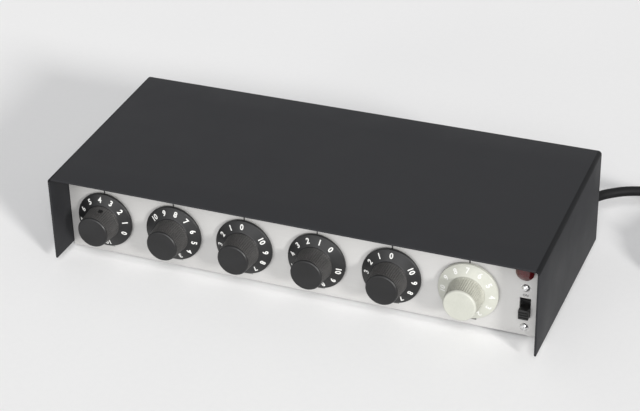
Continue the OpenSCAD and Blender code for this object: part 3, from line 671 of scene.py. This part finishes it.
# Cover screws
# Zinc-plated round-headed machine screws with a single slot, driven up through the flanges into the
# chassis, each left turned as it came tight.
screw_head = 2.5
screw_high = 1.8
screw_shank = 1.25
screw_point = 1.0
screw_point_length = 0.4
screw_slot = Vector((6, 0.7, 1.6)) * mm
screw_first_turn = 25
screw_turn_step = 67
facing_down = Matrix.Rotation(math.radians(180), 4, "X")


def dome(ball, rim, top, steps):
    """Outline of a round cap from its rim to its top, in mm; ball is the radius that it is round to."""
    widest = math.asin(rim / ball)
    angles = [widest * (1 - step / steps) for step in range(steps + 1)]
    return [(ball * math.sin(angle), top - ball + ball * math.cos(angle)) for angle in angles]


def slotted_screw(length):
    """Round-headed screw with its head standing on Z = 0 and its shank below it; length in mm."""
    ball = (screw_head ** 2 + screw_high ** 2) / (2 * screw_high)
    shank_end = screw_point_length - length
    outline = [(0, -length), (screw_point, -length), (screw_shank, shank_end), (screw_shank, 0)]
    outline += dome(ball, screw_head, screw_high, steps=6)
    slot_place = Vector((0, 0, screw_high * mm))
    slot = block(slot_place - screw_slot / 2, slot_place + screw_slot / 2)
    return combined(turned(outline, steps=40), slot, "DIFFERENCE")


def ends_of(low, high, inset):
    """The two places at an inset from a low and a high end."""
    return low + inset, high - inset


def screws(name, node, length, matrices):
    """A set of slotted screws in place of a CAD node, each turned further than the last."""
    forms = []
    for count, matrix in enumerate(matrices):
        turn = Matrix.Rotation(math.radians(screw_first_turn + screw_turn_step * count), 4, "Z")
        forms.append(moved(slotted_screw(length), matrix @ turn))
    return add_piece(name, gathered(forms), zinc_screw, "case", [node])


zinc_screw = finish("zinc screw", (0.66, 0.66, 0.66), (0.8, 0.8, 0.8), (0.2, 0.34), clouds=300, Metallic=1.0)
low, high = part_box("cover_screws")
screws(
    "cover_slotted_screws", "cover_screws", (high.z - cover_low.z) / mm,
    [
        Matrix.Translation((x, y, cover_low.z)) @ facing_down
        for x in ends_of(low.x, high.x, screw_head * mm)
        for y in ends_of(low.y, high.y, screw_head * mm)
    ],
)

# Chassis
# A pan folded from zinc-plated steel sheet: a front wall behind the panel, a floor and a rear wall, punched
# for the controls, the jacks, the cord and the screws. Everything inside is mounted on it.
chassis_low, chassis_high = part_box("chassis")
panel_low, panel_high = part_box("front_panel")
pan_sheet = 1.2 * mm
pan_bend = 2.0 * mm
pan_bend_steps = 4
bushing_hole = 4.85
relief_hole = 5.6
lamp_hole = 4.1
screw_hole = 1.35
hole_depth = 6
dials = range(1, 7)
jack_low, jack_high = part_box("jack_bodies")
jack_width = 16 * mm
jack_count = 6
jack_step = (jack_high.x - jack_low.x - jack_width) / (jack_count - 1)
jack_places = [
    Vector((jack_low.x + jack_width / 2 + jack_step * count, chassis_high.y, (jack_low.z + jack_high.z) / 2))
    for count in range(jack_count)
]
frame_low, frame_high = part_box("switch_frame")
switch_slot = Vector((6.4, 12, 12.2)) * mm
switch_screw_up = 12.7 * mm
switch_nuts_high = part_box("switch_nuts")[1]
notch_gap = 0.3 * mm


def on_panel(node):
    """Middle of a CAD node, brought to the panel's front face."""
    low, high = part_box(node)
    return Vector(((low.x + high.x) / 2, panel_low.y, (low.z + high.z) / 2))


dial_places = [on_panel(f"knob_{dial}") for dial in dials]
lens_place = on_panel("pilot_lens")
switch_place = on_panel("switch_frame")
switch_screw_places = [switch_place + Vector((0, 0, side * switch_screw_up)) for side in (1, -1)]


def drill(radius, place, facing):
    """Cutter for a round hole through a wall at a place; radius in mm."""
    return moved(rod(radius, -hole_depth, hole_depth), Matrix.Translation(place) @ facing)


def front_holes():
    """Cutters for the holes that the panel and the chassis' front wall share."""
    forms = [drill(bushing_hole, place, facing_front) for place in dial_places]
    forms.append(drill(lamp_hole, lens_place, facing_front))
    forms += [drill(screw_hole, place, facing_front) for place in switch_screw_places]
    forms.append(block(switch_place - switch_slot / 2, switch_place + switch_slot / 2))
    return forms


pan = bmesh.new()
pan_side = [
    (chassis_low.y, panel_high.z), (chassis_low.y, chassis_low.z),
    (chassis_high.y, chassis_low.z), (chassis_high.y, chassis_high.z),
]
pan_corners = line_through(pan, [(chassis_low.x, y, z) for y, z in pan_side])
round_off(pan, pan_corners[1:3], pan_bend, pan_bend_steps, "VERTICES")
draw_out(pan, pan.edges[:], (chassis_high.x - chassis_low.x, 0, 0))
turn_out(pan, -upright)
bmesh.ops.solidify(pan, geom=pan.faces[:], thickness=pan_sheet)
pan_holes = front_holes() + [drill(bushing_hole, place, facing_back) for place in jack_places]
pan_holes.append(drill(relief_hole, relief_wall, facing_back))
pan = combined(pan, gathered(pan_holes), "DIFFERENCE")
switch_notch = block(
    (frame_low.x - notch_gap, frame_low.y, chassis_low.z - notch_gap),
    (frame_high.x + notch_gap, switch_nuts_high.y + notch_gap, chassis_low.z + pan_sheet + notch_gap),
)
pan = combined(pan, switch_notch, "DIFFERENCE")
zinc_plate = finish(
    "zinc plate", (0.50, 0.51, 0.52), (0.66, 0.66, 0.65), (0.3, 0.48), clouds=70, depth=0.00001, Metallic=1.0
)
add_piece("folded_pan", pan, zinc_plate, "case", ["chassis"])

# Feet
# Four tapered feet of black rubber, each with a well in its underside where a screw holds it to the floor
# of the chassis.
foot_low, foot_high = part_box("feet")
foot_top = 8
foot_base = 7
foot_tall = (foot_high.z - foot_low.z) / mm
foot_well = 3.5
foot_well_deep = 4
foot_edge = 0.4
foot_base_edge = 0.9
foot_places = [
    Vector((x, y, 0))
    for x in ends_of(foot_low.x, foot_high.x, foot_top * mm)
    for y in ends_of(foot_low.y, foot_high.y, foot_top * mm)
]
foot_outline = [
    (screw_hole, foot_tall), (foot_top, foot_tall, foot_edge), (foot_base, 0, foot_base_edge),
    (foot_well, 0, foot_edge), (foot_well, foot_well_deep), (screw_hole, foot_well_deep),
    (screw_hole, foot_tall),
]
foot_rubber = finish("foot rubber", (0.010, 0.010, 0.010), (0.022, 0.022, 0.022), (0.75, 0.9), clouds=120)
foot_matrices = [Matrix.Translation(place) for place in foot_places]
add_piece(
    "rubber_feet", copies(turned(foot_outline, steps=48), foot_matrices), foot_rubber,
    "case", ["feet"],
)
foot_screw_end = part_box("foot_screws")[1].z / mm
well_top = Vector((0, 0, foot_well_deep * mm))
screws(
    "foot_slotted_screws", "foot_screws", foot_screw_end - foot_well_deep,
    [Matrix.Translation(place + well_top) @ facing_down for place in foot_places],
)

# Front panel
# A plate of aluminium with a fine satin grain along its length, set back under the hood in front of the
# chassis and held there by the control nuts. Ticks, ON and one bar are printed on it in dark ink; the bars
# under the black knobs have worn pale.
panel_edge = 0.35 * mm
panel_edge_steps = 3
ink_lift = 0.02 * mm
ink_sink = 0.15 * mm
tick_size = (0.8, 4.5)
tick_under = 1.2
bar_size = (8, 0.7)
main_bar_size = (9, 1.0)
bar_down = 18.8
on_tall = 1.5
on_up = 8.0
on_bold = 0.02
skirt_low, skirt_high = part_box("knob_1")
skirt_radius = (skirt_high.x - skirt_low.x) / 2


def lettering(words, tall, bold):
    """Solid flat letters, centred on the origin and facing +Z, from -1 to +1 high."""
    line = bpy.data.curves.new("lettering", "FONT")
    line.body = words
    line.extrude = 1
    line.offset = bold
    line.resolution_u = 4
    holder = add_object("lettering", line)
    flat = bpy.data.meshes.new_from_object(holder.evaluated_get(bpy.context.evaluated_depsgraph_get()))
    form = bmesh.new()
    form.from_mesh(flat)
    bpy.data.objects.remove(holder)
    bpy.data.curves.remove(line)
    bpy.data.meshes.remove(flat)
    close_up(form)
    low = Vector([min(point.co[axis] for point in form.verts) for axis in range(3)])
    high = Vector([max(point.co[axis] for point in form.verts) for axis in range(3)])
    size = tall / (high.y - low.y)
    centring = Matrix.Translation((-(low.x + high.x) / 2, -(low.y + high.y) / 2, 0))
    return moved(form, Matrix.Diagonal((size, size, 1, 1)) @ centring)


def printed(form, place, up):
    """Thin ink on the panel, up from a place, from a flat form that faces +Z and is from -1 to +1 high."""
    for point in form.verts:
        point.co.z = ink_lift if point.co.z > 0 else -ink_sink
    return moved(form, Matrix.Translation(place + Vector((0, 0, up))) @ facing_front)


def stripe(width, height):
    """Flat rectangle facing +Z, sizes in mm, from -1 to +1 high."""
    half = Vector((width * mm / 2, height * mm / 2, 1))
    return block(-half, half)


brushed_surface = surface_group(
    "brushed surface", cloud_look=(3.0, 0.5), grain_look=(3.0, 0.7), grain_stretch=(0.012, 1, 1),
    grain_share=0.6, tones=(0.55, 1.05), grain_shines=True,
)
satin_aluminium = finish(
    "satin aluminium", (0.455, 0.45, 0.443), (0.545, 0.54, 0.531), (0.44, 0.58), clouds=9, grain=6000,
    depth=0.000008, surface=brushed_surface, Metallic=0.35,
)
panel = block(panel_low, panel_high)
front_edges = [
    edge for edge in panel.edges if all(corner.co.y < panel_low.y + close for corner in edge.verts)
]
round_off(panel, front_edges, panel_edge, panel_edge_steps)
add_piece(
    "panel_plate", combined(panel, gathered(front_holes()), "DIFFERENCE"), satin_aluminium,
    "case", ["front_panel"],
)
tick_up = skirt_radius + (tick_size[1] / 2 - tick_under) * mm
marks = [printed(stripe(*tick_size), place, tick_up) for place in dial_places]
marks.append(printed(stripe(*main_bar_size), dial_places[-1], -bar_down * mm))
marks.append(printed(lettering("ON", on_tall * mm, on_bold), switch_place, on_up * mm))
panel_ink = finish("panel ink", (0.012, 0.012, 0.013), (0.030, 0.030, 0.031), (0.5, 0.7), clouds=400)
add_piece("panel_marks", gathered(marks), panel_ink, "case")
bars = [printed(stripe(*bar_size), place, -bar_down * mm) for place in dial_places[:-1]]
worn_ink = finish("worn panel ink", (0.16, 0.16, 0.16), (0.30, 0.30, 0.29), (0.5, 0.7), clouds=700)
add_piece("panel_bars", gathered(bars), worn_ink, "case")

# Dial knobs
# Six knobs of one shape moulded in plastic, five black and one ivory: a skirt with numbers filled in
# white, rising as a low cone to a fluted grip with a dished front. A set screw holds each knob to its
# shaft.
dial_settings = [3.8, 8.4, 0, 1.4, 0.1, 7]
top_number = 10
number_step = 30
number_radius = 14.2
number_tall = 3.3
number_bold = 0.03
number_lift = 0.03
number_sink = 0.25
skirt_edge = skirt_radius / mm
skirt_rim = 2.6
skirt_back = 0.8
skirt_round = 0.35
nut_room = (7.93, 3.6)
shaft_bore = (3.03, 15.5)
grip_foot = 5
grip_wide = 10.7
grip_narrow = 9.6
grip_end = 17.7
grip_bevel = 0.6
grip_round = 0.3
front_height = 18.5
face_edge = 8.2
face_round = 0.4
face_dish = 0.5
flute_count = 48
flute_steps = 6
flute_depth = 0.45
flutes_from = grip_foot + 1.4
flutes_to = grip_end - 0.8
flute_run_out = 0.2
# Heights in mm of the grip band that takes a painted sheen on the black knobs and painted shade on the ivory
# one.
painted_grip_from = grip_foot + 0.6
painted_grip_to = grip_end - 0.3
set_height = 9.55
set_number = 3.5
set_hole = 1.6
set_reach = grip_wide + 2
knob_crease = 40


def grip_radius(height):
    """Radius of the tapered grip at a height above the panel, in mm."""
    return grip_wide + (grip_narrow - grip_wide) * (height - grip_foot) / (grip_end - grip_foot)


def skirt_height(radius):
    """Height of the skirt's cone above the panel at a radius, in mm."""
    return skirt_rim + (grip_foot - skirt_rim) * (skirt_edge - radius) / (skirt_edge - grip_wide)


def knob_form():
    """Turned knob about Z with a fluted grip and its back towards the panel at Z = 0."""
    outline = [
        (0, front_height - face_dish), (face_edge, front_height, face_round),
        (grip_narrow - grip_bevel, front_height, grip_round), (grip_narrow, grip_end, grip_round),
    ]
    for flute_end in (flutes_to, flutes_from):
        for height in (flute_end + flute_run_out, flute_end - flute_run_out):
            outline.append((grip_radius(height), height))
    outline += [
        (grip_wide, grip_foot, skirt_round), (skirt_edge, skirt_rim, skirt_round),
        (skirt_edge, skirt_back, skirt_round), (nut_room[0], skirt_back), nut_room,
        (shaft_bore[0], nut_room[1]), shaft_bore, (0, shaft_bore[1]),
    ]
    form = turned(outline, steps=flute_count * flute_steps)
    for point in form.verts:
        radius = math.hypot(point.co.x, point.co.y) / mm
        if flutes_from < point.co.z / mm < flutes_to and radius > face_edge:
            wave = abs(math.sin(flute_count / 2 * math.atan2(point.co.y, point.co.x)))
            inwards = 1 - flute_depth * (1 - wave) / radius
            point.co.x *= inwards
            point.co.y *= inwards
    return form


def handle_grip(form):
    """Puts the fluted band of a knob in its second finish: painted sheen on black knobs, painted shade on
    ivory.
    """
    for face in form.faces:
        middle = face.calc_center_median() / mm
        if painted_grip_from < middle.z < painted_grip_to and math.hypot(middle.x, middle.y) > face_edge:
            face.material_index = 1
    return form


def number_ring(setting):
    """The numbers from 0 round a skirt, lying on its cone, for a dial with a setting at its top."""
    forms = []
    for number in range(top_number + 1):
        form = lettering(str(number), number_tall * mm, number_bold)
        bmesh.ops.translate(form, vec=(0, number_radius * mm, 0), verts=form.verts)
        for point in form.verts:
            cone = skirt_height(math.hypot(point.co.x, point.co.y) / mm)
            point.co.z = (cone + (number_lift if point.co.z > 0 else -number_sink)) * mm
        forms.append(moved(form, Matrix.Rotation(math.radians(number_step * (number - setting)), 4, "Z")))
    return gathered(forms)


knob_grain = {"grain": 900, "depth": 0.00001}
black_plastic = finish(
    "black knob plastic", (0.0055, 0.0055, 0.0058), (0.009, 0.009, 0.0095), (0.36, 0.48), clouds=90,
    Specular_IOR_Level=0.42, **knob_grain,
)
ivory_plastic = finish(
    "ivory knob plastic", (0.405, 0.41, 0.365), (0.46, 0.465, 0.415), (0.34, 0.46), clouds=70, **knob_grain
)
# The grips' second finishes are painted light: the black one is lighter as a painted sheen, the ivory one
# darker as painted shade.
black_grip_sheen = finish(
    "black grip painted sheen", (0.036, 0.035, 0.0345), (0.056, 0.054, 0.053), (0.46, 0.62), clouds=240,
    **knob_grain,
)
ivory_grip_shade = finish(
    "ivory grip painted shade", (0.36, 0.36, 0.31), (0.47, 0.47, 0.41), (0.46, 0.6), clouds=240, **knob_grain
)
number_white = finish("number filling", (0.58, 0.58, 0.565), (0.68, 0.68, 0.665), (0.5, 0.65), clouds=500)
for dial, dial_place, setting in zip(dials, dial_places, dial_settings):
    body = f"dial_{dial}"
    ivory = dial == dials[-1]
    place = Matrix.Translation(dial_place) @ facing_front
    set_turn = Matrix.Rotation(math.radians(number_step * (set_number - setting)), 4, "Z")
    set_way = set_turn @ Matrix.Translation((0, 0, set_height * mm)) @ facing_back
    form = combined(knob_form(), moved(rod(set_hole, 0, set_reach, steps=24), set_way), "DIFFERENCE")
    knob = add_piece(
        f"dial_knob_{dial}", moved(handle_grip(form), place), ivory_plastic if ivory else black_plastic,
        body, [f"knob_{dial}"], crease=knob_crease,
    )
    knob.data.materials.append(ivory_grip_shade if ivory else black_grip_sheen)
    numbers = moved(number_ring(setting), place)
    add_piece(f"dial_numbers_{dial}", numbers, number_white, body)

# Pilot lamp
# A lens moulded in dark red plastic, domed in front, pressed through the panel and held by a ring behind the
# chassis wall, with a small bulb inside its barrel.
lens_radius = 5.2
lens_out = 5
lens_ball = 8
lens_wall = 1
lens_crease = 50
barrel_radius = 4
barrel_end = (panel_low.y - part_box("pilot_lens")[1].y) / mm
lens_outline = dome(lens_ball, lens_radius, lens_out, steps=8)[::-1] + [
    (lens_radius, 0), (barrel_radius, 0), (barrel_radius, barrel_end),
    (barrel_radius - lens_wall, barrel_end), (barrel_radius - lens_wall, lens_wall), (0, lens_wall),
]
red_lens = finish(
    "red lens", (0.055, 0.003, 0.004), (0.08, 0.004, 0.006), (0.08, 0.16), clouds=150, grain=400,
    depth=0.00001, Coat_Weight=0.4, Coat_Roughness=0.05,
)
add_piece(
    "lamp_lens", moved(turned(lens_outline), Matrix.Translation(lens_place) @ facing_front), red_lens,
    "case", ["pilot_lens"], crease=lens_crease,
)

# Slide switch
# A black slider with a grooved face, standing out of a slot in the panel; its foot runs in a moulded base on
# a steel frame, which two round-headed screws and nuts hold behind the chassis wall.
slider_low, slider_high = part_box("switch_slider")
slider_width = 5.8 * mm
slider_tall = 6.2 * mm
slider_foot = 2 * mm
slider_edge = 0.4 * mm
slider_grooves = 3
slider_groove = Vector((8, 0.9, 0.7)) * mm
slider_middle = Vector(((slider_low.x + slider_high.x) / 2, 0, (slider_low.z + slider_high.z) / 2))
half_head = Vector((slider_width / 2, 0, slider_tall / 2))
slider = block(
    slider_middle - half_head + Vector((0, slider_low.y, 0)),
    slider_middle + half_head + Vector((0, slider_high.y - slider_foot / 2, 0)), slider_edge,
)
slider_face = Vector((slider_middle.x, slider_low.y, slider_middle.z - slider_tall / 2))
slider_step = Vector((0, 0, slider_tall / (slider_grooves + 1)))
finger_grooves = [
    Matrix.Translation(slider_face + slider_step * (row + 1)) for row in range(slider_grooves)
]
slider = combined(slider, copies(block(-slider_groove / 2, slider_groove / 2), finger_grooves), "DIFFERENCE")
slider_plate = block(
    (slider_low.x, slider_high.y - slider_foot, slider_low.z), slider_high, slider_edge, segments=1
)
slider_plastic = finish(
    "slider plastic", (0.006, 0.006, 0.006), (0.012, 0.012, 0.012), (0.3, 0.45), clouds=200
)
add_piece(
    "slider_button", combined(slider, slider_plate, "UNION"), slider_plastic,
    "switch", ["switch_slider"],
)
switch_screw_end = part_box("switch_screws")[1].y
screws(
    "switch_slotted_screws", "switch_screws", (switch_screw_end - panel_low.y) / mm,
    [Matrix.Translation(place) @ facing_front for place in switch_screw_places],
)

# Jacks
# Six phone jacks in black moulded bodies inside the rear wall, each with a threaded bushing through it and a
# plated hexagon nut outside.
wall = pan_sheet / mm
jack_half = jack_width / mm / 2
jack_edge = 0.8
jack_bushing = 4.75
jack_bore = 3.25
jack_out = 6
jack_deep = 24
jack_end = 3
bushing_root = 2
bushing_round = 0.4
thread_start = 0.4
thread_stop = 0.9
thread_turns = 5
thread_pitch = 0.9
thread_depth = 0.35
mouth_deep = 0.6
mouth_wide = 0.8
nut_flats = 12.7
nut_thick = 2.2
nut_chamfer = 0.5
cut_past = 0.2


def hex_nut(flats, thick, hole):
    """Six-sided nut about Z with chamfered corners and a plain hole, all in mm."""
    reach = flats / 2 / math.cos(math.radians(30))
    outside = reach + cut_past / 2
    round_blank = turned(
        [
            (0, 0), (flats / 2, 0), (outside, nut_chamfer), (outside, thick - nut_chamfer),
            (flats / 2, thick), (0, thick),
        ]
    )
    blank = combined(rod(reach, 0, thick, steps=6), round_blank, "INTERSECT")
    return combined(blank, rod(hole, -cut_past, thick + cut_past), "DIFFERENCE")


bushing_outline = [(0, -wall - bushing_root), (jack_bushing, -wall - bushing_root)]
for turn in range(thread_turns):
    height = thread_start + turn * thread_pitch
    bushing_outline.append((jack_bushing, height))
    bushing_outline.append((jack_bushing - thread_depth, height + thread_pitch / 2))
bushing_outline += [
    (jack_bushing, jack_out - thread_stop), (jack_bushing, jack_out, bushing_round), (0, jack_out)
]
jack_body = block(
    Vector((-jack_half, -jack_half, -wall - jack_deep)) * mm, Vector((jack_half, jack_half, -wall)) * mm,
    jack_edge * mm,
)
jack = combined(jack_body, turned(bushing_outline, steps=48), "UNION")
bore_end = jack_end - wall - jack_deep
bore_outline = [
    (0, bore_end), (jack_bore, bore_end), (jack_bore, jack_out - mouth_deep),
    (jack_bore + mouth_wide, jack_out + cut_past), (0, jack_out + cut_past),
]
jack = combined(jack, turned(bore_outline, steps=48), "DIFFERENCE")
jack_plastic = finish("jack plastic", (0.010, 0.010, 0.011), (0.020, 0.020, 0.021), (0.35, 0.5), clouds=140)
jack_matrices = [Matrix.Translation(place) @ facing_back for place in jack_places]
add_piece("phone_jacks", copies(jack, jack_matrices), jack_plastic, "case", ["jack_bodies"])
nickel = finish(
    "nickel plate", (0.55, 0.54, 0.51), (0.72, 0.71, 0.68), (0.18, 0.3), clouds=200, Metallic=1.0
)
add_piece(
    "jack_hex_nuts", copies(hex_nut(nut_flats, nut_thick, jack_bushing), jack_matrices), nickel,
    "case", ["jack_nuts"],
)

# Parts inside and behind the panel
# Potentiometers, leads, lamp, switch base, circuit board and transformer, bought in and screwed or soldered
# in place. Their shapes come from the frame, and each gets the finish of what it is made of.
core_sheet = 0.0005
wire_pitch = 0.0006
wave_unit = math.tau / 20


def dress(material, *nodes):
    """Gives CAD nodes a finish."""
    for node in nodes:
        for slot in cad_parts[node].material_slots:
            slot.material = material


def striped(name, dark, light, pitch, axis, shine):
    """Metal in close parallel lines across one axis, as wire or stacked sheets show; pitch in metres."""
    material, tree = new_material(name, Metallic=1.0)
    lines = add_node(tree, "TexWave", wave_type="BANDS", bands_direction=axis)
    set_inputs(lines, Scale=wave_unit / pitch, Distortion=0.4, Detail=1.0, Detail_Scale=3.0)
    shade = add_node(tree, "Mix", data_type="RGBA")
    set_inputs(shade, A=(*dark, 1), B=(*light, 1))
    gloss = add_node(tree, "MapRange")
    set_inputs(gloss, To_Min=shine[1], To_Max=shine[0])
    tree.links.new(add_node(tree, "TexCoord").outputs["Object"], lines.inputs["Vector"])
    tree.links.new(lines.outputs["Fac"], shade.inputs["Factor"])
    tree.links.new(lines.outputs["Fac"], gloss.inputs["Value"])
    line_depth = pitch / 4
    feed_shader(tree, shade.outputs["Result"], gloss.outputs["Result"], lines.outputs["Fac"], line_depth)
    return material


shaft_steel = finish("shaft steel", (0.5, 0.49, 0.45), (0.66, 0.64, 0.6), (0.25, 0.4), Metallic=1.0)
dress(shaft_steel, *[f"shaft_{dial}" for dial in dials])
dark_steel = finish("dark steel", (0.04, 0.04, 0.042), (0.08, 0.08, 0.08), (0.4, 0.55), Metallic=1.0)
dress(dark_steel, *[f"set_screw_{dial}" for dial in dials])
pot_plate = finish("pot plate", (0.45, 0.46, 0.46), (0.6, 0.6, 0.59), (0.3, 0.45), Metallic=1.0)
dress(pot_plate, "pot_housings", "pot_caps")
dress(nickel, "pot_nuts", "switch_nuts", "board_screws", "transformer_screws")
dress(zinc_plate, "switch_frame", "transformer_bracket")
copper = finish("tinned copper", (0.5, 0.3, 0.18), (0.68, 0.5, 0.38), (0.3, 0.45), clouds=300, Metallic=1.0)
dress(copper, "pot_leads", "jack_leads")
dress(slider_plastic, "pilot_ring")
bulb_glass = finish(
    "bulb glass", (0.62, 0.58, 0.5), (0.72, 0.68, 0.58), (0.05, 0.12), Transmission_Weight=0.6
)
dress(bulb_glass, "pilot_bulb")
phenolic = finish("brown phenolic", (0.05, 0.024, 0.012), (0.09, 0.045, 0.024), (0.4, 0.55), clouds=200)
dress(phenolic, "switch_base")
laminate = finish("board laminate", (0.20, 0.13, 0.055), (0.30, 0.2, 0.09), (0.4, 0.55), clouds=120)
dress(laminate, "circuit_board")
brass = finish("brass", (0.5, 0.36, 0.14), (0.66, 0.5, 0.22), (0.2, 0.35), Metallic=1.0)
dress(brass, "standoffs")
sleeve = finish("capacitor sleeve", (0.015, 0.04, 0.14), (0.03, 0.07, 0.2), (0.25, 0.4), clouds=90)
dress(sleeve, "capacitors", "supply_capacitors")
transistor_case = finish(
    "transistor case", (0.008, 0.008, 0.008), (0.02, 0.02, 0.02), (0.4, 0.55), clouds=300
)
dress(transistor_case, "transistors")
resistor_coat = finish("resistor coat", (0.42, 0.28, 0.15), (0.55, 0.4, 0.24), (0.35, 0.5), clouds=300)
dress(resistor_coat, "resistors")
core_sheets = striped(
    "stacked core sheets", (0.06, 0.06, 0.065), (0.16, 0.16, 0.17), core_sheet, "Y", (0.4, 0.6)
)
dress(core_sheets, "transformer_core")
winding = striped("winding wire", (0.22, 0.09, 0.03), (0.55, 0.3, 0.12), wire_pitch, "Z", (0.25, 0.5))
dress(winding, "transformer_winding")
